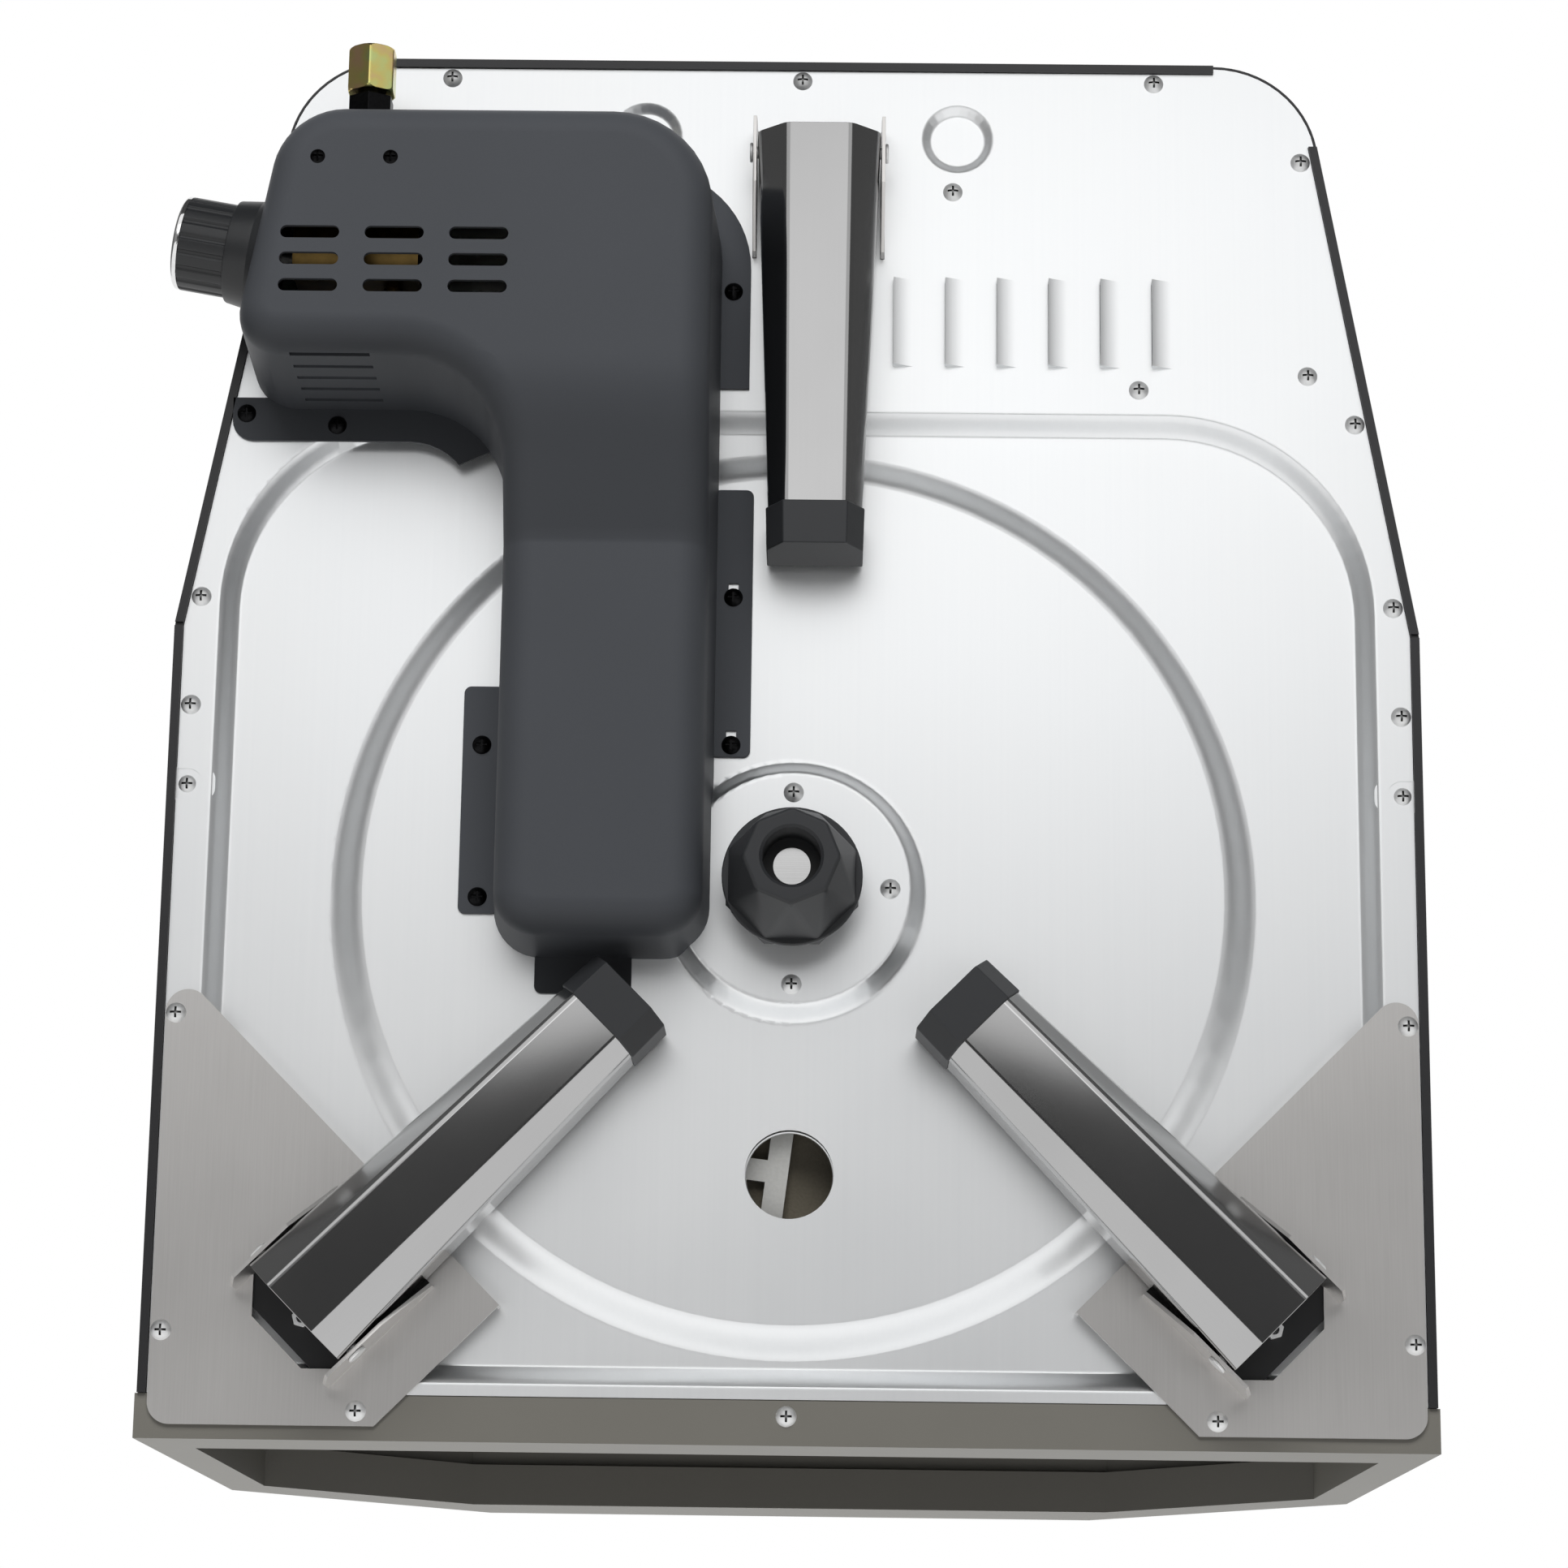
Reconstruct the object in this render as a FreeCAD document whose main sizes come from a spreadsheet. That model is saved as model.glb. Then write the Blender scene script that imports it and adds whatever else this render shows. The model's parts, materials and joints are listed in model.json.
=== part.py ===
import FreeCAD, Part
import math
import os

import Sketcher
from FreeCAD import Placement, Rotation, Vector

# Portable gas pizza oven with a turning stone and three folding legs, shown with its legs folded.
# Working frame: hub axis along Z, underside of the pan's rim at z = 0, +Y to the back, millimetres.
# Each sub-part is then shifted by the same step, so that the part stands on z = 0 in its own frame.

os.makedirs("parts", exist_ok=True)
doc = FreeCAD.newDocument("pizza_oven")

SIZES = (
    # Stone and the room left round it, which set the body's outline
    ("stone_radius", 203.0),
    ("stone_height", 15.0),
    ("stone_chamfer", 1.5),
    ("stone_seat_gap", 0.2),
    ("stone_to_front", 5.5),
    ("stone_to_side", 58.5),
    ("stone_to_burner", 15.0),
    ("burner_to_bulkhead", 37.0),
    ("rear_space", 92.5),
    ("hub_to_bend", 112.0),
    ("back_taper", 45.7),
    ("rear_corner_radius", 45.0),
    # Outer shell
    ("shell_wall", 1.0),
    ("shoulder_height", 174.0),
    ("shoulder_inset", 15.0),
    ("roof_rise", 75.0),
    ("roof_inset", 123.5),
    ("roof_back_taper", 38.0),
    ("roof_back_inset", 105.5),
    ("roof_bend_shift", 22.0),
    ("front_lean", 0.07),
    ("hem_width", 3.6),
    ("hem_drop", 1.5),
    ("hem_height", 5.0),
    ("hem_notch", 1.6),
    ("rim_lip", 12.0),
    ("sheet_gap", 0.2),
    # Pressed bottom pan
    ("pan_wall", 1.0),
    ("pan_bend", 3.0),
    ("recess_depth", 8.0),
    ("recess_side_margin", 17.5),
    ("recess_front_margin", 4.5),
    ("recess_back_margin", 16.0),
    ("recess_slope", 9.0),
    ("recess_back_radius", 88.0),
    ("recess_front_radius", 40.0),
    ("ring_inset", 10.0),
    ("ring_slope", 15.0),
    ("dish_radius", 55.5),
    ("dish_slope", 7.5),
    ("dish_height", 8.0),
    ("drain_radius", 18.2),
    ("hub_to_drain", 117.4),
    ("louvre_count", 6),
    ("louvre_pitch", 22.1),
    ("louvre_first", 40.0),
    ("louvre_length", 39.0),
    ("louvre_width", 8.5),
    ("louvre_rise", 4.0),
    ("recess_to_louvre", 39.8),
    ("dimple_radius", 16.0),
    ("dimple_flat", 11.0),
    ("dimple_rise", 3.0),
    ("dimple_side", 67.3),
    ("back_to_dimple", 34.5),
    ("tab_notch_radius", 6.5),
    # Front fascia and the frame widths round its mouth
    ("fascia_overhang", 1.0),
    ("fascia_crown", 3.0),
    ("fascia_depth", 18.0),
    ("fascia_wall", 1.5),
    ("jamb_width", 18.2),
    ("haunch_width", 24.0),
    ("header_width", 33.0),
    ("sill_height", 30.0),
    # Inner oven
    ("liner_wall", 0.8),
    ("liner_step", 5.0),
    ("insulation_gap", 0.3),
    ("insulation_margin", 25.0),
    # Turntable
    ("spindle_radius", 7.5),
    ("running_gap", 0.05),
    ("bush_wall", 2.5),
    ("bush_length", 12.0),
    ("housing_wall", 6.0),
    ("housing_rim_gap", 1.5),
    ("housing_flange", 4.0),
    ("housing_height", 9.0),
    ("housing_screw_inset", 6.2),
    ("washer_wall", 1.2),
    ("spider_hub_radius", 22.0),
    ("spider_hub_height", 9.0),
    ("spider_reach", 165.0),
    ("spider_bar", 9.0),
    ("spider_slot", 9.0),
    ("spider_bar_height", 4.0),
    ("spider_tie", 110.0),
    ("spider_turn", 7.0),
    ("spider_arms", 4),
    ("knob_neck", 22.0),
    ("knob_flange_radius", 28.7),
    ("knob_flange_height", 3.0),
    ("knob_grip", 40.0),
    ("knob_base_circle", 28.1),
    ("knob_tip_circle", 19.6),
    ("knob_socket_radius", 11.7),
    ("knob_socket_depth", 21.0),
    # Folding legs
    ("leg_length", 178.0),
    ("leg_wall", 1.2),
    ("leg_half_width", 26.3),
    ("leg_flat_half", 14.0),
    ("leg_foot_half", 19.3),
    ("leg_foot_flat_half", 12.7),
    ("leg_edge_level", 5.0),
    ("leg_height", 34.0),
    ("leg_chamfer_rise", 11.0),
    ("pivot_drop", 15.0),
    ("pivot_along", 6.5),
    ("pin_radius", 2.5),
    ("rivet_radius", 4.2),
    ("rivet_height", 1.4),
    ("cap_socket", 11.0),
    ("cap_wall", 1.2),
    ("cap_sole", 7.5),
    ("cap_gap", 0.05),
    ("front_leg_side_inset", 65.4),
    ("front_leg_front_inset", 30.5),
    ("rear_leg_offset", 7.6),
    ("rear_leg_inset", 43.2),
    ("lug_gap", 0.4),
    ("lug_wall", 1.5),
    ("lug_overhang", 11.4),
    ("lug_reach", 46.6),
    ("lug_below_pin", 6.0),
    ("lug_toe", 8.0),
    ("window_gap", 2.6),
    ("window_corner", 12.0),
    # Gusset plates that carry the front legs
    ("gusset_wall", 1.5),
    ("gusset_gap", 0.7),
    ("gusset_setback", 5.7),
    ("gusset_nose", 14.0),
    ("gusset_flank", 52.0),
    ("gusset_lip", 6.0),
    ("gusset_corner_radius", 9.0),
    ("backing_wall", 1.2),
    ("backing_margin", 5.0),
    ("hinge_nut_flats", 7.0),
    ("hinge_nut_height", 3.2),
    ("hinge_nut_bore", 2.0),
    ("bracket_wall", 1.5),
    ("bracket_wing", 39.0),
    ("bracket_wing_width", 17.0),
    # Cover over the gas valve and its pipes
    ("cover_depth", 78.0),
    ("cover_wall", 2.0),
    ("cover_draft", 2.5),
    ("cover_round", 11.0),
    ("cover_back_margin", 48.5),
    ("cover_length", 112.0),
    ("cover_side_margin", 8.0),
    ("cover_side_radius", 20.0),
    ("cover_back_radius", 30.0),
    ("arm_near_side", 33.5),
    ("arm_width", 90.0),
    ("foot_to_arm", 3.6),
    ("arm_depth", 50.0),
    ("arm_ramp_gap", 2.0),
    ("arm_ramp_run", 66.0),
    ("arm_corner_radius", 16.0),
    ("arm_inner_radius", 42.0),
    ("tab_wall", 1.5),
    ("tab_width", 15.0),
    ("tab_screw_inset", 7.0),
    ("near_tab_gap", 1.1),
    ("near_tab_length", 116.4),
    ("near_screw_1", 5.2),
    ("near_screw_2", 69.1),
    ("far_tab_front", 18.0),
    ("far_tab_length", 97.0),
    ("far_screw_1", 25.3),
    ("far_screw_2", 89.9),
    ("rear_tab_gap", 11.0),
    ("rear_tab_length", 69.0),
    ("rear_tab_width", 10.0),
    ("rear_tab_screw", 43.7),
    ("rear_tab_screw_inset", 5.0),
    ("front_tab_offset", 32.5),
    ("front_tab_length", 40.0),
    ("side_tab_screw", 48.7),
    ("corner_screw_inset", 9.6),
    ("corner_screw_gap", 2.1),
    ("vent_length", 24.3),
    ("vent_width", 5.4),
    ("vent_pitch_x", 34.7),
    ("vent_pitch_y", 11.5),
    ("vent_before_valve", 26.4),
    ("step_to_vent", 28.1),
    ("vent_rows", 3),
    ("slit_count", 5),
    ("slit_length", 33.0),
    ("slit_width", 2.2),
    ("slit_pitch", 13.0),
    ("slit_first", 13.0),
    ("valve_to_slit", 32.3),
    # Gas valve, knob and inlet
    ("valve_level", 42.0),
    ("back_to_knob", 58.5),
    ("knob_reach", 32.9),
    ("gas_knob_radius", 19.6),
    ("gas_knob_stand_off", 6.0),
    ("gas_knob_ring", 2.6),
    ("gas_knob_flutes", 18),
    ("gas_knob_flute", 1.6),
    ("bezel_wall", 2.6),
    ("bezel_lip", 1.0),
    ("bezel_height", 10.5),
    ("bezel_back", 1.5),
    ("bezel_gap", 0.8),
    ("stem_radius", 4.0),
    ("stem_inside", 30.0),
    ("stem_in_knob", 12.0),
    ("stem_hole_gap", 4.0),
    ("valve_back_gap", 17.0),
    ("valve_side_gap", 9.5),
    ("valve_width", 52.0),
    ("valve_length", 56.0),
    ("valve_half_height", 20.0),
    ("valve_bore_extra", 20.0),
    ("valve_boss_radius", 5.0),
    ("valve_screw_inset", 11.0),
    ("inlet_offset", 24.3),
    ("adapter_flats", 17.5),
    ("adapter_hex", 12.0),
    ("adapter_neck_radius", 6.2),
    ("adapter_neck", 5.0),
    ("adapter_collar_radius", 7.0),
    ("adapter_collar", 2.0),
    ("nut_flats", 19.0),
    ("nut_length", 20.0),
    ("nut_bore_gap", 0.2),
    ("nut_collar_room", 2.5),
    ("nut_thread_radius", 7.7),
    ("nut_lip", 3.0),
    ("nut_gap", 0.1),
    # Burners and gas lines
    ("burner_radius", 10.0),
    ("burner_wall", 1.2),
    ("burner_half_length", 160.0),
    ("burner_level", 62.0),
    ("burner_port", 3.0),
    ("burner_port_pitch", 12.0),
    ("burner_bracket_side", 130.0),
    ("burner_bracket_wall", 2.0),
    ("burner_bracket_half", 8.0),
    ("gas_pipe_radius", 4.0),
    ("gas_pipe_bore", 3.0),
    ("gas_pipe_bend", 12.0),
    ("gas_pipe_hole_gap", 2.0),
    ("gas_pipe_offset", 12.0),
    ("gas_riser_inset", 44.5),
    ("hearth_burner_side", 80.0),
    ("hearth_burner_back", 97.5),
    ("hearth_burner_half_width", 35.0),
    ("hearth_burner_half_depth", 27.5),
    ("hearth_burner_height", 11.0),
    ("hearth_riser_offset", 20.0),
    ("hearth_pipe_rise", 12.0),
    ("electrode_side", 110.0),
    ("electrode_gap", 6.0),
    ("electrode_radius", 3.0),
    ("electrode_tip_radius", 1.0),
    ("electrode_height", 50.0),
    ("electrode_tip", 24.0),
    # Screws
    ("screw_head_radius", 4.2),
    ("screw_head_height", 2.4),
    ("screw_shank_radius", 1.9),
    ("screw_length", 7.0),
    ("screw_slot", 0.9),
    ("screw_slot_reach", 2.3),
    ("screw_slot_depth", 1.2),
    ("screw_hole_gap", 0.1),
    ("cover_screw_radius", 4.0),
    ("cover_screw_sink", 1.2),
    ("cover_screw_gap", 0.5),
    ("rim_screw_inset", 8.3),
    ("rim_screw_back_side", 152.3),
    ("rim_screw_1", 124.2),
    ("rim_screw_2", 77.2),
    ("rim_screw_3", 43.2),
    ("back_to_rim_screw_4", 162.6),
    ("back_to_rim_screw_5", 44.1),
    ("inner_screw_1_side", 144.8),
    ("inner_screw_1_gap", 10.5),
    ("inner_screw_2_inset", 23.9),
    ("inner_screw_2_gap", 17.4),
    ("bracket_screw_reach", 57.7),
    ("bracket_screw_along", 15.8),
    ("fascia_screw_inset", 6.5),
    ("gusset_screw_inset", 4.3),
    ("gusset_screw_behind", 124.2),
    ("gusset_screw_ahead", 5.5),
    ("gusset_screw_inboard", 23.1),
)

# Places that follow from the driving sizes, each written once as a formula
FORMULAS = (
    ("body_half_width", "{stone_radius} + {stone_to_side}"),
    ("hub_to_front", "{stone_radius} + {stone_to_front}"),
    ("hub_to_burner", "{stone_radius} + {stone_to_burner} + {burner_radius}"),
    ("hub_to_bulkhead", "{hub_to_burner} + {burner_radius} + {burner_to_bulkhead}"),
    ("hub_to_back", "{hub_to_bulkhead} + {rear_space}"),
    ("back_half_width", "{body_half_width} - {back_taper}"),
    ("roof_height", "{shoulder_height} + {roof_rise}"),
    ("roof_half_width", "{body_half_width} - {roof_inset}"),
    ("roof_back_half_width", "{roof_half_width} - {roof_back_taper}"),
    ("hub_to_roof_back", "{hub_to_back} - {roof_back_inset}"),
    ("roof_bend", "{hub_to_bend} - {roof_bend_shift}"),
    ("ring_radius", "{stone_radius} - {ring_inset}"),
    ("recess_half_width", "{body_half_width} - {recess_side_margin}"),
    ("recess_front", "{hub_to_front} - {recess_front_margin}"),
    ("recess_back", "{ring_radius} + {recess_back_margin}"),
    ("hub_to_louvre", "{recess_back} + {recess_to_louvre}"),
    ("hub_to_dimple", "{hub_to_back} - {back_to_dimple}"),
    ("lip_level", "{pan_wall} + {sheet_gap}"),
    ("fascia_face", "{hub_to_front} + {sheet_gap} + {fascia_depth}"),
    ("fascia_height", "{roof_height} + {fascia_crown}"),
    ("liner_top", "{fascia_height} - {header_width} + {liner_step}"),
    ("bush_radius", "{spindle_radius} + {running_gap} + {bush_wall}"),
    ("bore_radius", "{spindle_radius} + {running_gap}"),
    ("housing_radius", "{bush_radius} + {housing_wall}"),
    ("housing_flange_radius", "{dish_radius} - {dish_slope} - {housing_rim_gap}"),
    ("housing_screw_circle", "{housing_flange_radius} - {housing_screw_inset}"),
    ("dish_top", "{pan_wall} - {dish_height}"),
    ("knob_flange_level", "{dish_height} + {knob_neck}"),
    ("housing_end", "{washer_wall} - {knob_flange_level}"),
    ("knob_base_level", "{knob_flange_level} + {knob_flange_height}"),
    ("knob_tip_level", "{knob_base_level} + {knob_grip}"),
    ("spindle_end", "{knob_tip_level} - {knob_socket_depth}"),
    ("spider_low", "{housing_height} + {washer_wall}"),
    ("spider_top", "{spider_low} + {spider_hub_height}"),
    ("stone_low", "{spider_top} + {stone_seat_gap}"),
    ("stone_top", "{stone_low} + {stone_height}"),
    ("leg_flat_level", "{leg_edge_level} + {leg_height}"),
    ("pivot_level", "{leg_edge_level} + {pivot_drop}"),
    ("lug_inner", "{leg_half_width} + {lug_gap}"),
    ("lug_outer", "{lug_inner} + {lug_wall}"),
    ("lug_drop", "{pivot_level} + {lug_below_pin}"),
    ("front_leg_side", "{body_half_width} - {front_leg_side_inset}"),
    ("front_leg_forward", "{hub_to_front} - {front_leg_front_inset}"),
    ("hub_to_rear_leg", "{hub_to_back} - {rear_leg_inset}"),
    ("leg_reach", "{leg_length} + {cap_sole}"),
    ("cap_end_half", "{leg_half_width} + ({leg_foot_half} - {leg_half_width}) * {leg_reach} / {leg_length}"
                     " + {cap_wall}"),
    ("gusset_side", "{body_half_width} - {hem_width} - {gusset_gap}"),
    ("gusset_front", "{fascia_face} - {gusset_setback}"),
    ("cover_back", "{hub_to_back} - {cover_back_margin}"),
    ("cover_step", "{cover_back} - {cover_length}"),
    ("arm_front", "{front_leg_forward} - ({leg_reach} + {cap_end_half}) * sqrt(0.5) - {foot_to_arm}"),
    ("arm_far_side", "{arm_near_side} + {arm_width}"),
    ("far_tab_back", "{far_tab_front} + {far_tab_length} - {arm_front}"),
    ("arm_ramp_start", "{cover_step} - {arm_ramp_gap}"),
    ("arm_ramp_end", "{arm_ramp_start} - {arm_ramp_run}"),
    ("near_tab_start", "{dish_radius} + {near_tab_gap}"),
    ("rear_tab_start", "{cover_step} + {rear_tab_gap}"),
    ("slant_angle", "atan({back_taper} / ({hub_to_back} - {hub_to_bend}))"),
    ("knob_along_wall", "{cover_back} - {back_to_knob}"),
    ("knob_seat_side", "{body_half_width} - ({knob_along_wall} - {hub_to_bend}) * tan({slant_angle})"
                       " - {cover_side_margin} / cos({slant_angle})"),
    ("valve_back", "{cover_back} - {valve_back_gap}"),
    ("valve_front", "{valve_back} - {valve_length}"),
    ("bezel_bore", "{gas_knob_radius} + {bezel_gap}"),
    ("bezel_lip_radius", "{bezel_bore} + {bezel_lip}"),
    ("bezel_radius", "{bezel_bore} + {bezel_wall}"),
    ("stem_hole", "{stem_radius} + {stem_hole_gap}"),
    ("stem_end", "{gas_knob_stand_off} + {stem_in_knob}"),
    ("stem_bore", "{stem_radius} + {running_gap}"),
    ("ring_start", "{knob_reach} - {gas_knob_ring}"),
    ("adapter_neck_top", "{adapter_hex} + {adapter_neck}"),
    ("adapter_end", "{adapter_neck_top} + {adapter_collar}"),
    ("nut_start", "{adapter_neck_top} - {nut_lip} - {nut_gap}"),
    ("nut_bore_radius", "{adapter_collar_radius} + {nut_bore_gap}"),
    ("gas_riser_side", "{arm_near_side} + {gas_riser_inset}"),
    ("hearth_riser_side", "{hearth_burner_side} + {hearth_riser_offset}"),
    ("screw_hole", "{screw_shank_radius} + {screw_hole_gap}"),
    ("home_y", "({fascia_face} + {front_lean} * {fascia_height} - {hub_to_back}) / 2"),
    ("home_z", "{cover_depth} + {screw_head_height} - {cover_screw_sink}"),
)

sheet = doc.addObject("Spreadsheet::Sheet", "sizes")
for row, (alias, value) in enumerate(SIZES, start=1):
    sheet.set("A%d" % row, alias)
    sheet.set("B%d" % row, str(value))
    sheet.setAlias("B%d" % row, alias)
doc.recompute()

TERMS = {alias: "sizes." + alias for alias, value in SIZES}
for name, text in FORMULAS:
    TERMS[name] = "(" + text.format_map(TERMS) + ")"


def formula(text):
    """Expression on the sheet, from text with each size's name in braces."""
    return text.format_map(TERMS)


def evaluate(text):
    return float(sheet.evalExpression(formula(text)))


def size(name):
    return float(sheet.evalExpression(TERMS[name]))


def count_of(name):
    return int(round(size(name)))


SUBPARTS = []
home = Placement(Vector(0, size("home_y"), size("home_z")), Rotation())


# Helpers: flat loops, prisms and lofts
def inset_loop(points, radii, steps):
    """Corners and radii of a counter-clockwise loop, each edge moved inwards by its own step."""
    lines = []
    for i, start in enumerate(points):
        end = points[(i + 1) % len(points)]
        length = math.dist(start, end)
        along_x = (end[0] - start[0]) / length
        along_y = (end[1] - start[1]) / length
        lines.append((start[0] - along_y * steps[i], start[1] + along_x * steps[i], along_x, along_y))
    corners = []
    rounds = []
    for i, (x1, y1, dx1, dy1) in enumerate(lines):
        x0, y0, dx0, dy0 = lines[i - 1]
        turn = dx0 * dy1 - dy0 * dx1
        travel = ((x1 - x0) * dy1 - (y1 - y0) * dx1) / turn
        corners.append((x0 + dx0 * travel, y0 + dy0 * travel))
        step = (steps[i - 1] + steps[i]) / 2
        shrink = step if turn > 0 else -step
        rounds.append(max(radii[i] - shrink, 0.0) if radii[i] else 0.0)
    return corners, rounds


def corner_points(before, corner, after, radius):
    """Start, middle and end of the arc that rounds a corner."""
    tip = Vector(*corner, 0)
    a = (Vector(*before, 0) - tip).normalize()
    b = (Vector(*after, 0) - tip).normalize()
    half = a.getAngle(b) / 2
    tangent = radius / math.tan(half)
    middle = (a + b).normalize() * (radius / math.sin(half) - radius)
    return tip + a * tangent, tip + middle, tip + b * tangent


def rounded_wire(points, radii, level=0.0):
    """Closed wire at one height, with its corners rounded by tangent arcs."""
    lift = Vector(0, 0, level)
    stops = []
    for i, corner in enumerate(points):
        if radii[i] > 0:
            after = points[(i + 1) % len(points)]
            stops.append([p + lift for p in corner_points(points[i - 1], corner, after, radii[i])])
        else:
            stops.append([Vector(*corner, level)])
    edges = []
    for i, stop in enumerate(stops):
        if len(stop) == 3:
            edges.append(Part.Arc(*stop).toShape())
        following = stops[(i + 1) % len(stops)][0]
        if stop[-1].distanceToPoint(following) > 1e-6:
            edges.append(Part.LineSegment(stop[-1], following).toShape())
    return Part.Wire(edges)


def prism(points, low, high, radii=None):
    wire = rounded_wire(points, radii or [0.0] * len(points), low)
    return Part.Face(wire).extrude(Vector(0, 0, high - low))


def swept_polygon(places, run):
    """Prism of a flat polygon in space along one vector."""
    return Part.Face(Part.makePolygon(places + places[:1])).extrude(run)


def box(x0, x1, y0, y1, z0, z1):
    return Part.makeBox(x1 - x0, y1 - y0, z1 - z0, Vector(x0, y0, z0))


def rod(radius, start, end):
    axis = end - start
    return Part.makeCylinder(radius, axis.Length, start, axis)


def loft(wires):
    return Part.makeLoft(wires, True, True)


def joined(shapes):
    return shapes[0].multiFuse(shapes[1:]).removeSplitter()


def feature(label, shape):
    """Sub-part whose form needs direct construction; its place follows its shape."""
    part = doc.addObject("Part::Feature", label)
    part.Label = label
    part.Shape = shape
    part.Placement = home
    SUBPARTS.append(part)
    return part


# Helpers: bodies with sketches bound to the sheet
def new_body(label, x="0", y="0", z="0", rotation=None):
    """Body placed at expressions in the working frame."""
    body = doc.addObject("PartDesign::Body", label)
    body.Label = label
    body.Placement = Placement(Vector(), rotation or Rotation())
    body.setExpression("Placement.Base.x", formula(x))
    body.setExpression("Placement.Base.y", formula("{home_y} + " + y))
    body.setExpression("Placement.Base.z", formula("{home_z} + " + z))
    SUBPARTS.append(body)
    return body


def sketch_on(body, role, name, offset="0"):
    """Sketch on one of the body's own planes, moved along that plane's normal."""
    sketch = body.newObject("Sketcher::SketchObject", name)
    plane = next(item for item in body.Origin.OriginFeatures if item.Role == role)
    sketch.AttachmentSupport = [(plane, "")]
    sketch.MapMode = "FlatFace"
    sketch.setExpression("AttachmentOffset.Base.z", formula(offset))
    return sketch


def add_polygon(sketch, points):
    """Closed line loop, each corner held at a pair of expressions."""
    first = sketch.GeometryCount
    places = [Vector(evaluate(x), evaluate(y), 0) for x, y in points]
    for i, place in enumerate(places):
        sketch.addGeometry(Part.LineSegment(place, places[(i + 1) % len(places)]))
    for i in range(len(points)):
        following = first + (i + 1) % len(points)
        sketch.addConstraint(Sketcher.Constraint("Coincident", first + i, 2, following, 1))
    for i, ((x, y), place) in enumerate(zip(points, places)):
        for kind, text, now in (("DistanceX", x, place.x), ("DistanceY", y, place.y)):
            index = sketch.addConstraint(Sketcher.Constraint(kind, -1, 1, first + i, 1, now))
            sketch.setExpression("Constraints[%d]" % index, formula(text))


def add_circle(sketch, radius, x="0", y="0"):
    """Circle whose radius and centre are expressions."""
    middle = Vector(evaluate(x), evaluate(y), 0)
    circle = sketch.addGeometry(Part.Circle(middle, Vector(0, 0, 1), evaluate(radius)))
    index = sketch.addConstraint(Sketcher.Constraint("Radius", circle, evaluate(radius)))
    sketch.setExpression("Constraints[%d]" % index, formula(radius))
    for kind, text, now in (("DistanceX", x, middle.x), ("DistanceY", y, middle.y)):
        index = sketch.addConstraint(Sketcher.Constraint(kind, -1, 1, circle, 3, now))
        sketch.setExpression("Constraints[%d]" % index, formula(text))


def add_turning(body, name, points):
    """Revolve a profile of (radius, height) expressions about the body's Z axis."""
    sketch = sketch_on(body, "XZ_Plane", name + "_profile")
    add_polygon(sketch, points)
    turn = body.newObject("PartDesign::Revolution", name)
    turn.Profile = sketch
    turn.ReferenceAxis = (sketch, ["V_Axis"])
    turn.Angle = 360.0


def turned(label, points, **place):
    body = new_body(label, **place)
    add_turning(body, label + "_turning", points)
    return body


def add_pad(body, name, loops, length, start="0"):
    """Straight pad of polygon loops from a start height along the body's Z axis."""
    sketch = sketch_on(body, "XY_Plane", name + "_outline", start)
    for points in loops:
        add_polygon(sketch, points)
    pad = body.newObject("PartDesign::Pad", name)
    pad.Profile = sketch
    pad.setExpression("Length", formula(length))
    return pad


def add_round_pocket(body, name, radius, start, depth, x="0"):
    """Round hole cut downwards along the body's Z axis from a start height."""
    sketch = sketch_on(body, "XY_Plane", name + "_circle", start)
    add_circle(sketch, radius, x)
    pocket = body.newObject("PartDesign::Pocket", name)
    pocket.Profile = sketch
    pocket.setExpression("Length", formula(depth))
    return pocket


def add_ring_pattern(body, name, original, sketch, count):
    """Copies of one feature spread evenly about the body's Z axis."""
    pattern = body.newObject("PartDesign::PolarPattern", name)
    pattern.Originals = [original]
    pattern.Axis = (sketch, ["N_Axis"])
    pattern.Angle = 360.0
    pattern.setExpression("Occurrences", formula(count))
    body.Tip = pattern


def rectangle(x0, x1, y0, y1):
    return [(x0, y0), (x1, y0), (x1, y1), (x0, y1)]


def hexagon(flats):
    """Corners of a hexagon from its width across flats."""
    corner = 1 / math.sqrt(3)
    turns = [math.radians(60 * i + 30) for i in range(6)]
    return [("%s * %.9f" % (flats, corner * math.cos(t)), "%s * %.9f" % (flats, corner * math.sin(t)))
            for t in turns]


# Body outline shared by the shell, the hem, the rim lip and the pan
def outline_at(half, bend, back_half, back, front):
    return [(half, -front), (half, bend), (back_half, back),
            (-back_half, back), (-half, bend), (-half, -front)]


OUTLINE = outline_at(size("body_half_width"), size("hub_to_bend"), size("back_half_width"),
                     size("hub_to_back"), size("hub_to_front"))
REAR_ROUNDS = [0.0, 0.0, size("rear_corner_radius"), size("rear_corner_radius"), 0.0, 0.0]
arc_start, arc_end = corner_points(OUTLINE[1], OUTLINE[2], OUTLINE[3], REAR_ROUNDS[2])[::2]
slant = math.radians(size("slant_angle"))


def side_x(y, inset):
    """Right-hand side of the body at a distance behind the hub, moved inwards by an inset."""
    if y < size("hub_to_bend"):
        return size("body_half_width") - inset
    return size("body_half_width") - (y - size("hub_to_bend")) * math.tan(slant) - inset / math.cos(slant)


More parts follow.
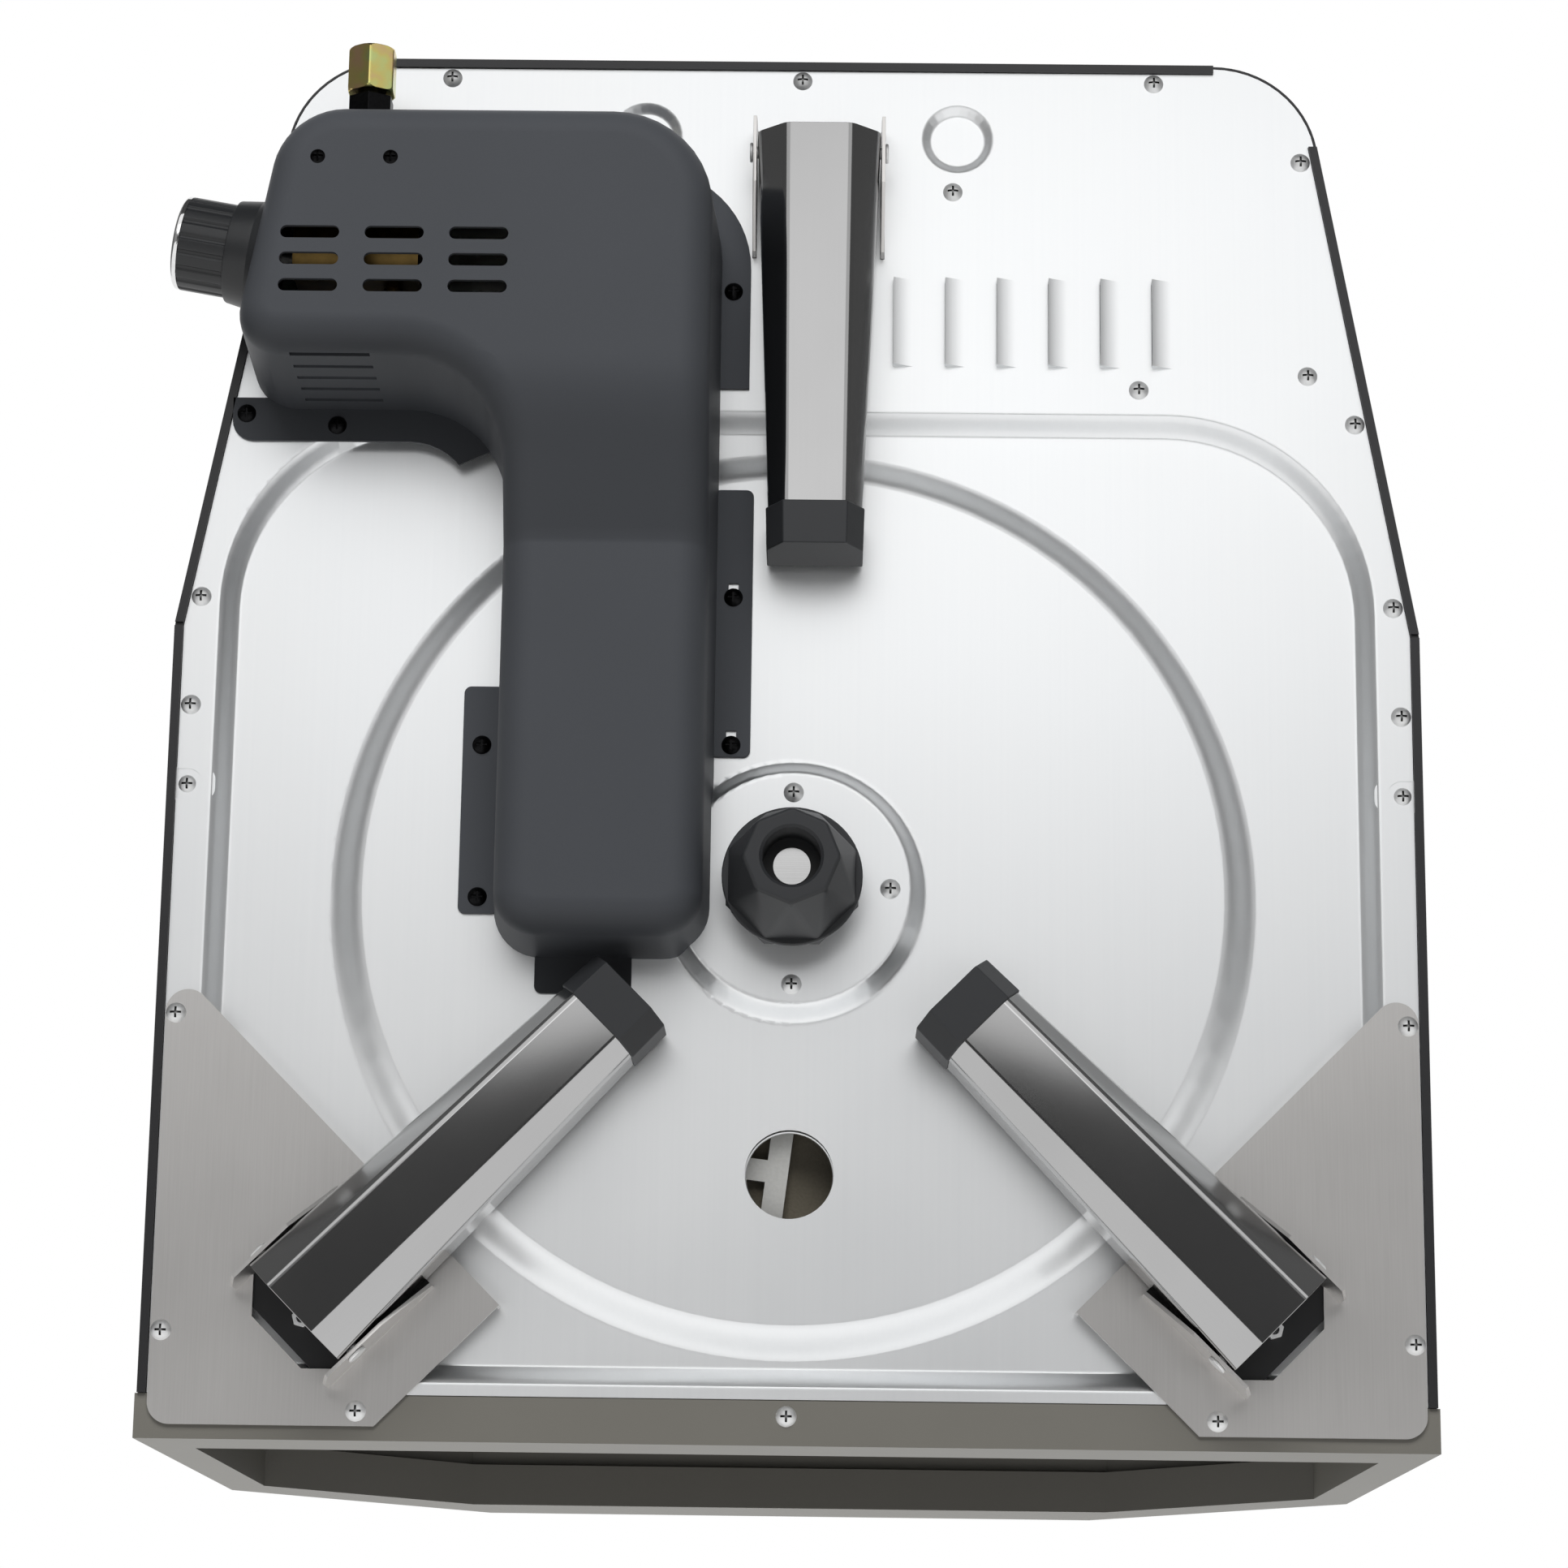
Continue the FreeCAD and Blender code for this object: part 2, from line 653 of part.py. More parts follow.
# Screws: head below, shank pointing up, cross recess in the head
def screw(place, head_radius):
    height = size("screw_head_height")
    dome_radius = (head_radius ** 2 + height ** 2) / (2 * height)
    dome = Part.makeSphere(dome_radius, Vector(0, 0, dome_radius - height))
    head = rod(head_radius, Vector(0, 0, -height), Vector()).common(dome)
    reach = size("screw_slot_reach")
    half = size("screw_slot") / 2
    recess_top = size("screw_slot_depth") - height
    for x, y in ((reach, half), (half, reach)):
        head = head.cut(box(-x, x, -y, y, -height, recess_top))
    shank = rod(size("screw_shank_radius"), Vector(), Vector(0, 0, size("screw_length")))
    whole = head.fuse(shank).removeSplitter()
    whole.translate(place)
    return whole


def screw_group(places, head_radius):
    return Part.makeCompound([screw(place, head_radius) for place in places])


def drilled(shape, places):
    """Shape with a clearance hole along Z at each screw."""
    reach = Vector(0, 0, size("screw_length"))
    return shape.cut(Part.makeCompound([rod(size("screw_hole"), p - reach, p + reach) for p in places]))


def mirrored_pair(x, y, z=0.0):
    return [Vector(x, y, z), Vector(-x, y, z)]


RIM_SCREWS = [Vector(0, size("hub_to_back") - size("rim_screw_inset"), 0)]
RIM_SCREWS += mirrored_pair(size("rim_screw_back_side"), RIM_SCREWS[0].y)
for alias in ("rim_screw_1", "rim_screw_2"):
    RIM_SCREWS += mirrored_pair(side_x(size(alias), size("rim_screw_inset")), size(alias))
for alias in ("back_to_rim_screw_4", "back_to_rim_screw_5"):
    along = size("hub_to_back") - size(alias)
    RIM_SCREWS.append(Vector(-side_x(along, size("rim_screw_inset")), along, 0))
along = size("recess_back") + size("inner_screw_2_gap")
INNER_SCREWS = [Vector(-size("inner_screw_1_side"), size("recess_back") + size("inner_screw_1_gap"), 0),
                Vector(-side_x(along, size("inner_screw_2_inset")), along, 0)]
TAB_SCREWS = mirrored_pair(side_x(size("rim_screw_3"), size("rim_screw_inset")), size("rim_screw_3"),
                           size("lip_level"))
BRACKET_SCREWS = [Vector(side * size("bracket_screw_reach") - size("rear_leg_offset"),
                         size("hub_to_rear_leg") - size("bracket_screw_along"), 0) for side in (1, -1)]
GUSSET_SCREWS = []
for along in (size("gusset_screw_behind"), -size("gusset_screw_ahead")):
    GUSSET_SCREWS += mirrored_pair(size("gusset_side") - size("gusset_screw_inset"),
                                   along - size("front_leg_forward"), -size("gusset_wall"))
FASCIA_SCREW = Vector(0, -size("hub_to_front") - size("fascia_screw_inset"), 0)
GUSSET_FASCIA_SCREWS = mirrored_pair(size("front_leg_side") - size("gusset_screw_inboard"), FASCIA_SCREW.y,
                                     -size("gusset_wall"))
HUB_SCREWS = [Rotation(Vector(0, 0, 1), 90 * i).multVec(Vector(size("housing_screw_circle"), 0,
                                                               -size("dish_height"))) for i in range(4)]


# Folding-leg frames: u from the hinge end to the foot, then sideways, then up
def leg_frame(x, y, degrees):
    return Placement(Vector(x, y, 0), Rotation(Vector(0, 0, 1), degrees))


LEGS = {
    "right": leg_frame(size("front_leg_side"), -size("front_leg_forward"), 135),
    "left": leg_frame(-size("front_leg_side"), -size("front_leg_forward"), 45),
    "rear": leg_frame(-size("rear_leg_offset"), size("hub_to_rear_leg"), -90),
}


def in_leg_frame(shape, side):
    moved = shape.copy()
    moved.Placement = LEGS[side].multiply(moved.Placement)
    return moved


# Pressed bottom pan
def pan_blank(top):
    """Solid under the pan's outline, wider at the two corners that have no hem."""
    hem_inset = size("hem_width") + size("sheet_gap")
    sheet_inset = size("shell_wall") + size("sheet_gap")
    inner, rounds = inset_loop(OUTLINE, REAR_ROUNDS, [hem_inset] * 5 + [size("sheet_gap")])
    blank = prism(inner, 0, top, rounds)
    wide, rounds = inset_loop(OUTLINE, REAR_ROUNDS, [sheet_inset] * 6)
    corners = prism(wide, 0, top, rounds)
    reach = size("hub_to_back")
    for x0, x1 in ((arc_end.x, reach), (-reach, -arc_end.x)):
        blank = blank.fuse(corners.common(box(x0, x1, arc_start.y, reach, 0, top)))
    return blank.removeSplitter()


def recess_form():
    """Rounded rectangle pressed upwards, with sloping sides."""
    half = size("recess_half_width")
    corners = [(half, -size("recess_front")), (half, size("recess_back")),
               (-half, size("recess_back")), (-half, -size("recess_front"))]
    radii = [size("recess_front_radius"), size("recess_back_radius"),
             size("recess_back_radius"), size("recess_front_radius")]
    slope = size("recess_slope")
    depth = size("recess_depth")
    low, low_radii = inset_loop(corners, radii, [-slope] * 4)
    high, high_radii = inset_loop(corners, radii, [slope] * 4)
    return loft([rounded_wire(low, low_radii, -depth), rounded_wire(high, high_radii, depth)])


def is_pan_bend(edge):
    """True for the edges at the top and foot of the pressed slopes."""
    bounds = edge.BoundBox
    flat = bounds.ZLength < 1e-6
    levels = (-size("dish_height"), 0.0, size("recess_depth"))
    at_level = min(abs(bounds.ZMin - level) for level in levels) < 1e-6
    across = max(abs(bounds.XMin), abs(bounds.XMax)) < size("recess_half_width") + 1e-3
    along = bounds.YMax < size("recess_back") + 1e-3 and bounds.YMin > -size("recess_front") - 1e-3
    return flat and at_level and across and along


def pan_block():
    """Everything above the pan's underside, up to a flat top over the recess."""
    depth = size("recess_depth")
    block = pan_blank(depth + size("dish_height")).cut(recess_form())
    ring = Part.makeCone(size("ring_radius") - size("ring_slope"), size("ring_radius"), depth)
    dish = Part.makeCone(size("dish_radius") - size("dish_slope"), size("dish_radius"),
                         size("dish_height"), Vector(0, 0, -size("dish_height")))
    block = joined([block, ring, dish])
    block = block.makeFillet(size("pan_bend"), [edge for edge in block.Edges if is_pan_bend(edge)])
    for side in (1, -1):
        middle = Vector(side * size("dimple_side"), size("hub_to_dimple"), 0)
        dimple = Part.makeCone(size("dimple_radius"), size("dimple_flat"), size("dimple_rise"), middle)
        block = block.cut(dimple)
    return block


def louvre(x):
    """Pressed hood, cut open along its edge nearest the hub line."""
    width = size("louvre_width")
    rise = size("louvre_rise")
    wall = size("pan_wall")
    y0 = size("hub_to_louvre") - size("louvre_length") / 2
    hood = [Vector(x, y0, -rise), Vector(x - width, y0, 0), Vector(x - width, y0, wall),
            Vector(x, y0, wall - rise)]
    plate = swept_polygon(hood, Vector(0, size("louvre_length"), 0))
    cheek = [Vector(x, y0, -rise), Vector(x - width, y0, 0), Vector(x, y0, 0)]
    end = swept_polygon(cheek, Vector(0, wall, 0))
    far_end = end.translated(Vector(0, size("louvre_length") - wall, 0))
    return joined([plate, end, far_end])


def louvre_slot(x):
    wall = size("pan_wall")
    half = size("louvre_length") / 2 - wall
    return box(x - size("louvre_width") + wall, x, size("hub_to_louvre") - half,
               size("hub_to_louvre") + half, -wall, 2 * wall)


def lug_slots():
    """Two slots in the pan for the lugs of the rear leg's bracket."""
    gap = size("sheet_gap")
    slots = []
    for start in (size("lug_inner"), -size("lug_outer")):
        slot = box(-size("lug_overhang") - gap, size("lug_reach") + gap, start - gap,
                   start + size("lug_wall") + gap, -size("pan_wall"), 2 * size("pan_wall"))
        slots.append(in_leg_frame(slot, "rear"))
    return slots


def edge_notch(place):
    """U-shaped notch in the pan's edge round a screw that holds the side panel alone."""
    radius = size("tab_notch_radius")
    height = Vector(0, 0, size("recess_depth"))
    outward = math.copysign(size("rim_screw_inset"), place.x)
    x0, x1 = sorted((place.x, place.x + outward))
    throat = box(x0, x1, place.y - radius, place.y + radius, -height.z, height.z)
    return rod(radius, place - height, place + height).fuse(throat)


def bottom_pan():
    block = pan_block()
    metal = block.cut(block.translated(Vector(0, 0, size("pan_wall"))))
    reach = Vector(0, 0, size("recess_depth") + size("dish_height"))
    round_holes = [(size("drain_radius"), 0.0, -size("hub_to_drain")),
                   (size("housing_radius") + size("sheet_gap"), 0.0, 0.0)]
    pipe_hole = size("gas_pipe_radius") + size("gas_pipe_hole_gap")
    round_holes.append((pipe_hole, size("gas_riser_side"), size("hub_to_burner")))
    round_holes.append((pipe_hole, size("hearth_riser_side"), size("hearth_burner_back")))
    cuts = [rod(radius, Vector(x, y, 0) - reach, Vector(x, y, 0) + reach) for radius, x, y in round_holes]
    cuts += lug_slots() + [edge_notch(place) for place in TAB_SCREWS]
    places = [-size("louvre_first") - i * size("louvre_pitch") for i in range(count_of("louvre_count"))]
    cuts += [louvre_slot(x) for x in places]
    metal = metal.cut(Part.makeCompound(cuts))
    metal = joined([metal] + [louvre(x) for x in places])
    return drilled(metal, RIM_SCREWS + INNER_SCREWS + BRACKET_SCREWS + HUB_SCREWS + GUSSET_SCREWS
                   + cover_tab_screws())


# Outer shell, cut into the panels that it is folded and screwed together from
def shell_level(level, inset, front_inset):
    """Outline of the shell at its foot, its shoulder or its roof."""
    lean = size("front_lean")
    shrink = size("shoulder_inset")
    if level == 0:
        height = 0.0
        points = OUTLINE
    elif level == 1:
        height = size("shoulder_height")
        points = outline_at(size("body_half_width") - shrink, size("hub_to_bend"),
                            size("back_half_width") - shrink, size("hub_to_back") - shrink,
                            size("hub_to_front") + lean * height)
    else:
        height = size("roof_height") - inset
        points = outline_at(size("roof_half_width"), size("roof_bend"), size("roof_back_half_width"),
                            size("hub_to_roof_back"), size("hub_to_front") + lean * height)
    corners, rounds = inset_loop(points, REAR_ROUNDS, [inset] * 5 + [front_inset])
    return rounded_wire(corners, rounds, height)


def whole_shell():
    wall = size("shell_wall")
    outer = loft([shell_level(i, 0.0, 0.0) for i in range(3)])
    inner = loft([shell_level(i, wall, -wall) for i in range(3)])
    return outer.cut(inner)


def rim_strip(edge, near, far, low, high):
    """Straight strip along one edge of the body outline, between two insets."""
    outer = inset_loop(OUTLINE, REAR_ROUNDS, [near] * 5 + [0.0])[0]
    inner = inset_loop(OUTLINE, REAR_ROUNDS, [far] * 5 + [0.0])[0]
    after = (edge + 1) % len(OUTLINE)
    return prism([outer[edge], outer[after], inner[after], inner[edge]], low, high)


def rim_dressing(edge):
    """Folded hem and inner screw lip along one edge."""
    hem_low = -size("hem_drop")
    hem = rim_strip(edge, 0.0, size("hem_width"), hem_low, hem_low + size("hem_height"))
    low = size("lip_level")
    wall = size("shell_wall")
    lip = rim_strip(edge, wall / 2, wall + size("rim_lip"), low, low + wall)
    return [hem, lip]


def shell_panels():
    shell = whole_shell()
    reach = size("hub_to_back") + size("body_half_width")
    shoulder = size("shoulder_height")
    seam = arc_start.y
    below = -size("hem_drop")
    half_notch = size("hem_notch") / 2
    panels = {"roof_panel": shell.common(box(-reach, reach, -reach, reach, shoulder, reach))}
    lip_screws = RIM_SCREWS + TAB_SCREWS + GUSSET_SCREWS + cover_tab_screws()
    for label, edges, side in (("right_side_panel", (0, 1), 1), ("left_side_panel", (4, 3), -1)):
        x0, x1 = sorted((0.0, side * reach))
        wall = shell.common(box(x0, x1, -reach, seam, 0, shoulder))
        keep = box(x0, x1, -reach, seam, below, shoulder)
        dressing = [strip.common(keep) for edge in edges for strip in rim_dressing(edge)]
        bend = Vector(side * size("body_half_width"), size("hub_to_bend"), 0)
        notch = box(bend.x - size("hem_width"), bend.x + size("hem_width"), bend.y - half_notch,
                    bend.y + half_notch, below, 0)
        panels[label] = drilled(joined([wall] + dressing).cut(notch), lip_screws)
    wall = shell.common(box(-reach, reach, seam, reach, 0, shoulder))
    keep = box(-arc_end.x, arc_end.x, seam, reach, below, shoulder)
    back = joined([wall] + [strip.common(keep) for strip in rim_dressing(2)])
    panels["back_panel"] = drilled(back, lip_screws)
    return panels


# Front fascia: leaning frame of folded sheet round the mouth
def arch(half, low, shoulder_half, shoulder, top_half, top):
    return [(half, low), (shoulder_half, shoulder), (top_half, top),
            (-top_half, top), (-shoulder_half, shoulder), (-half, low)]


def fascia_arch(side, haunch, header, sill):
    """Fascia outline moved inwards by a width at its sides, haunches, header and sill."""
    over = size("fascia_overhang")
    outer = arch(size("body_half_width") + over, 0.0,
                 size("body_half_width") - size("shoulder_inset") + over, size("shoulder_height") + over,
                 size("roof_half_width") + over / 2, size("fascia_height"))
    return inset_loop(outer, [0.0] * 6, [side, haunch, header, haunch, side, sill])[0]


def leaning_places(points, start):
    """Points of an arch on the plane of the body's front, which leans forward."""
    return [Vector(x, -start - size("front_lean") * z, z) for x, z in points]


def front_fascia():
    depth = size("fascia_depth")
    wall = size("fascia_wall")
    face = size("fascia_face")
    widths = (size("jamb_width"), size("haunch_width"), size("header_width"), size("sill_height"))
    run = Vector(0, depth, 0)
    frame = swept_polygon(leaning_places(fascia_arch(0, 0, 0, 0), face), run)
    mouth = swept_polygon(leaning_places(fascia_arch(*widths), face + depth), run * 3)
    pocket = swept_polygon(leaning_places(fascia_arch(wall, wall, wall, wall), face - wall), run)
    throat = fascia_arch(*(width - wall for width in widths))
    pocket = pocket.cut(swept_polygon(leaning_places(throat, face + depth), run * 3))
    return drilled(frame.cut(mouth).cut(pocket), [FASCIA_SCREW] + GUSSET_FASCIA_SCREWS)


# Inner oven
def liner_arch(narrowing, inset):
    """Liner section just outside the mouth, narrower towards the back; open at its foot."""
    step = size("liner_step") - inset
    foot = size("lip_level") + size("shell_wall") - inset
    widths = [size(alias) - step for alias in ("jamb_width", "haunch_width", "header_width")]
    points = fascia_arch(*widths, foot)
    return [(x - math.copysign(narrowing, x), z) for x, z in points]


back_narrowing = (size("hub_to_bulkhead") - size("hub_to_bend")) * math.tan(slant)


def liner_form(inset):
    front = leaning_places(liner_arch(0.0, inset), size("hub_to_front"))
    middle = [Vector(x, size("hub_to_bend"), z) for x, z in liner_arch(0.0, inset)]
    back = [Vector(x, size("hub_to_bulkhead"), z) for x, z in liner_arch(back_narrowing, inset)]
    return loft([Part.makePolygon(places + places[:1]) for places in (front, middle, back)])


def oven_liner():
    return liner_form(0.0).cut(liner_form(size("liner_wall")))


def rear_bulkhead():
    places = [Vector(x, size("hub_to_bulkhead"), z) for x, z in liner_arch(back_narrowing, 0.0)]
    return swept_polygon(places, Vector(0, size("liner_wall"), 0))


# Leg hinges
def pivot_rod(radius, half):
    start = Vector(size("pivot_along"), -half, -size("pivot_level"))
    return rod(radius, start, start + Vector(0, 2 * half, 0))


def hinge_lugs(top):
    """Pair of lugs bent down beside a leg, bored for its pin."""
    tip = -size("lug_drop")
    toe = size("lug_toe")
    profile = [(-size("lug_overhang"), top), (size("lug_reach"), top), (size("lug_reach"), -toe),
               (size("pivot_along") + size("pivot_drop"), tip), (-toe, tip), (-size("lug_overhang"), tip / 2)]
    lugs = []
    for start in (size("lug_inner"), -size("lug_outer")):
        places = [Vector(u, start, z) for u, z in profile]
        lug = swept_polygon(places, Vector(0, size("lug_wall"), 0))
        lugs.append(lug.cut(pivot_rod(size("pin_radius"), 2 * size("lug_outer"))))
    return lugs


def hinge_window(near, margin):
    """Outline left open where a pair of lugs was bent out, from a near end, grown by a margin."""
    half = size("lug_inner") + margin
    corner = size("window_corner")
    far = size("lug_reach") + margin
    return [(near, -half + corner), (near + corner, -half), (far, -half),
            (far, half), (near + corner, half), (near, half - corner)]


def right_gusset():
    """Corner plate with a stiffening lip along its free edge and a window for the leg."""
    wall = size("gusset_wall")
    side = size("gusset_side")
    front = -size("gusset_front")
    nose = size("lug_reach") + size("gusset_nose")
    tip = LEGS["right"].multVec(Vector(nose, size("gusset_flank"), 0))
    apex_y = tip.y + side - tip.x
    corners = [(side, front), (side, apex_y), (tip.x, tip.y), (tip.x + tip.y - front, front)]
    rounds = [size("gusset_corner_radius"), size("gusset_corner_radius"), 0.0, 0.0]
    plate = prism(corners, -wall, 0, rounds)
    lip_x = size("recess_half_width") - size("recess_slope") - size("gusset_lip")
    across = wall / math.sqrt(2)
    lip = prism([(lip_x, tip.y + lip_x - tip.x), (tip.x, tip.y), (tip.x + across, tip.y - across),
                 (lip_x + across, tip.y + lip_x - tip.x - across)], -wall, size("gusset_lip"))
    near = -size("lug_overhang") - size("window_gap")
    window = in_leg_frame(prism(hinge_window(near, 0.0), -2 * wall, wall), "right")
    whole = plate.fuse(lip).cut(window)
    whole = joined([whole] + [in_leg_frame(lug, "right") for lug in hinge_lugs(0.0)])
    return drilled(whole, GUSSET_SCREWS + GUSSET_FASCIA_SCREWS)


def backing_plate(side):
    """Plate behind the window of a gusset, drilled for the nut in its middle."""
    plate = prism(hinge_window(-size("lug_overhang"), size("backing_margin")), 0, size("backing_wall"))
    bore = rod(size("hinge_nut_bore"), Vector(), Vector(0, 0, size("backing_wall")))
    return in_leg_frame(plate.cut(bore), side)


def hinge_nut(side):
    circle = size("hinge_nut_flats") / math.sqrt(3)
    corners = [(circle * math.cos(math.pi / 3 * i), circle * math.sin(math.pi / 3 * i)) for i in range(6)]
    bottom = Vector(0, 0, -size("hinge_nut_height"))
    nut = prism(corners, bottom.z, 0)
    return in_leg_frame(nut.cut(rod(size("hinge_nut_bore"), bottom, Vector())), side)


def rear_leg_bracket():
    """Channel on the pan's inner face whose lugs pass down through two slots."""
    low = size("pan_wall")
    high = low + size("bracket_wall")
    outer = size("lug_outer")
    base = box(-size("lug_overhang"), size("lug_reach"), -outer, outer, low, high)
    middle = size("bracket_screw_along")
    half = size("bracket_wing_width") / 2
    wing = outer + size("bracket_wing")
    wings = box(middle - half, middle + half, -wing, wing, low, high)
    whole = joined([base, wings] + hinge_lugs(high))
    return drilled(in_leg_frame(whole, "rear"), BRACKET_SCREWS)


def leg_pin(side):
    """Riveted pin through both lugs and the leg's two walls."""
    half = size("lug_outer")
    pin = pivot_rod(size("pin_radius"), half)
    heads = pivot_rod(size("rivet_radius"), half + size("rivet_height"))
    heads = heads.cut(pivot_rod(2 * size("rivet_radius"), half))
    return in_leg_frame(joined([pin, heads]), side)


# Folding legs and their caps
def leg_points(along, grow, top):
    """Section of a leg at a distance along it, grown outwards, up to a chosen height."""
    share = "(%s) / {leg_length}" % along
    half = "({leg_half_width} + ({leg_foot_half} - {leg_half_width}) * %s + %s)" % (share, grow)
    flat = "({leg_flat_half} + ({leg_foot_flat_half} - {leg_flat_half}) * %s + (%s) / 2)" % (share, grow)
    shoulder = "{leg_chamfer_rise} - {leg_flat_level}"
    bottom = "-{leg_flat_level} - (%s)" % grow
    return [(half, top), (half, shoulder), (flat, bottom),
            ("-" + flat, bottom), ("-" + half, shoulder), ("-" + half, top)]


def add_leg_loft(body, kind, name, start, end, grow, top):
    """Straight tapered bar between two leg sections, added or taken away."""
    sketches = []
    for place, along in (("start", start), ("end", end)):
        sketch = sketch_on(body, "YZ_Plane", "%s_%s" % (name, place), along)
        add_polygon(sketch, leg_points(along, grow, top))
        sketches.append(sketch)
    bar = body.newObject(kind, name)
    bar.Profile = sketches[0]
    bar.Sections = sketches[1:]
    bar.Ruled = True
    return bar


def folding_leg(side, place):
    """Tapered channel, open towards the pan, bored for its pin."""
    name = side + "_leg"
    body = new_body(name, rotation=LEGS[side].Rotation, **place)
    add_leg_loft(body, "PartDesign::AdditiveLoft", name + "_bar", "0", "{leg_length}", "0",
                 "-{leg_edge_level}")
    add_leg_loft(body, "PartDesign::SubtractiveLoft", name + "_hollow", "0", "{leg_length}", "-{leg_wall}",
                 "{leg_wall} - {leg_edge_level}")
    sketch = sketch_on(body, "XZ_Plane", name + "_pivot_circle", "{lug_inner}")
    add_circle(sketch, "{pin_radius} + {running_gap}", "{pivot_along}", "-{pivot_level}")
    bore = body.newObject("PartDesign::Pocket", name + "_pivot")
    bore.Profile = sketch
    bore.setExpression("Length", formula("2 * {lug_inner}"))


def foot_cap(side, place):
    """Moulded cap pushed over the end of a leg, with a solid sole."""
    name = side + "_foot_cap"
    body = new_body(name, rotation=LEGS[side].Rotation, **place)
    start = "{leg_length} - {cap_socket}"
    add_leg_loft(body, "PartDesign::AdditiveLoft", name + "_block", start, "{leg_length} + {cap_sole}",
                 "{cap_wall}", "{cap_wall} - {leg_edge_level}")
    add_leg_loft(body, "PartDesign::SubtractiveLoft", name + "_socket", start, "{leg_length} + {cap_gap}",
                 "{cap_gap}", "{cap_gap} - {leg_edge_level}")


# Turntable under the stone
def turntable_spider():
    """Hub with slotted arms, turned a little off the body's axes."""
    body = new_body("turntable_spider", rotation=Rotation(Vector(0, 0, 1), size("spider_turn")))
    sketch = sketch_on(body, "XY_Plane", "spider_hub_circle", "{spider_low}")
    add_circle(sketch, "{spider_hub_radius}")
    hub = body.newObject("PartDesign::Pad", "spider_hub")
    hub.Profile = sketch
    hub.setExpression("Length", formula("{spider_hub_height}"))
    half = "({spider_slot} / 2)"
    outer = "(%s + {spider_bar})" % half
    slot_start = "{spider_hub_radius} + {spider_bar} / 2"
    arm = add_pad(body, "spider_arm", [
        rectangle("0", "{spider_reach}", "-" + outer, outer),
        rectangle(slot_start, "{spider_tie}", "-" + half, half),
        rectangle("{spider_tie} + {spider_bar}", "{spider_reach} - {spider_bar}", "-" + half, half)],
        "{spider_bar_height}", "{spider_top} - {spider_bar_height}")
    add_ring_pattern(body, "spider_arms", arm, sketch, "{spider_arms}")
    add_round_pocket(body, "spider_bore", "{spindle_radius}", "{spider_top}", "{spider_hub_height}")


def hub_knob():
    """Faceted hand knob: octagon base, octagon tip turned half a step, flange behind."""
    def octagon(circle, level, offset):
        turns = [math.pi / 4 * (i + offset) for i in range(8)]
        return [Vector(circle * math.cos(t), circle * math.sin(t), -level) for t in turns]

    base = octagon(size("knob_base_circle"), size("knob_base_level"), 0.5)
    tip = octagon(size("knob_tip_circle"), size("knob_tip_level"), 0.0)
    loops = [base, tip]
    for i in range(8):
        loops.append([tip[i], base[i], base[i - 1]])
        loops.append([base[i], tip[i], tip[(i + 1) % 8]])
    grip = Part.Solid(Part.Shell([Part.Face(Part.makePolygon(loop + loop[:1])) for loop in loops]))
    if grip.Volume < 0:
        grip.reverse()
    flange = rod(size("knob_flange_radius"), Vector(0, 0, -size("knob_base_level")),
                 Vector(0, 0, -size("knob_flange_level")))
    end = Vector(0, 0, -size("knob_tip_level"))
    bore = rod(size("spindle_radius"), end, Vector())
    socket = rod(size("knob_socket_radius"), end, Vector(0, 0, -size("spindle_end")))
    return joined([grip, flange]).cut(bore).cut(socket)


# Cover over the gas valve: tall valve end, ramp, slim arm, screw tabs
def cover_loop(steps):
    """Cover outline moved inwards; its outer end runs parallel to the body's slanted side."""
    margin = size("cover_side_margin")
    near = size("arm_near_side")
    far = size("arm_far_side")
    step = size("cover_step")
    back = size("cover_back")
    points = [(near, -size("arm_front")), (far, -size("arm_front")), (far, step),
              (side_x(step, margin), step), (side_x(back, margin), back), (near, back)]
    radii = [size("arm_corner_radius"), size("arm_corner_radius"), size("arm_inner_radius"),
             size("cover_side_radius"), size("cover_back_radius"), size("cover_back_radius")]
    return inset_loop(points, radii, steps)


def cover_form(inset):
    """Closed form of the cover, smaller by an inset on every side."""
    depth = size("cover_depth") - inset
    draft = size("cover_draft")
    curve = size("cover_round")
    levels = [(0.0, 0.0)]
    for turn in (0, 30, 60, 90):
        angle = math.radians(turn)
        levels.append((depth - curve + curve * math.sin(angle), draft + curve * (1 - math.cos(angle))))
    wires = []
    for level, step in levels:
        steps = [step + inset] * 6
        steps[3] -= min(step, draft)
        wires.append(rounded_wire(*cover_loop(steps), -level))
    arm_level = inset - size("arm_depth")
    low = -size("cover_depth") - size("cover_wall")
    front = -size("arm_front") - size("cover_wall")
    start = size("arm_ramp_start") + inset / 2
    ramp = [(start, inset - size("cover_depth")), (start - size("arm_ramp_run"), arm_level),
            (front, arm_level), (front, low), (start, low)]
    wedge = swept_polygon([Vector(-size("arm_near_side"), y, z) for y, z in ramp],
                          Vector(size("arm_near_side") + size("body_half_width"), 0, 0))
    return loft(wires).cut(wedge)


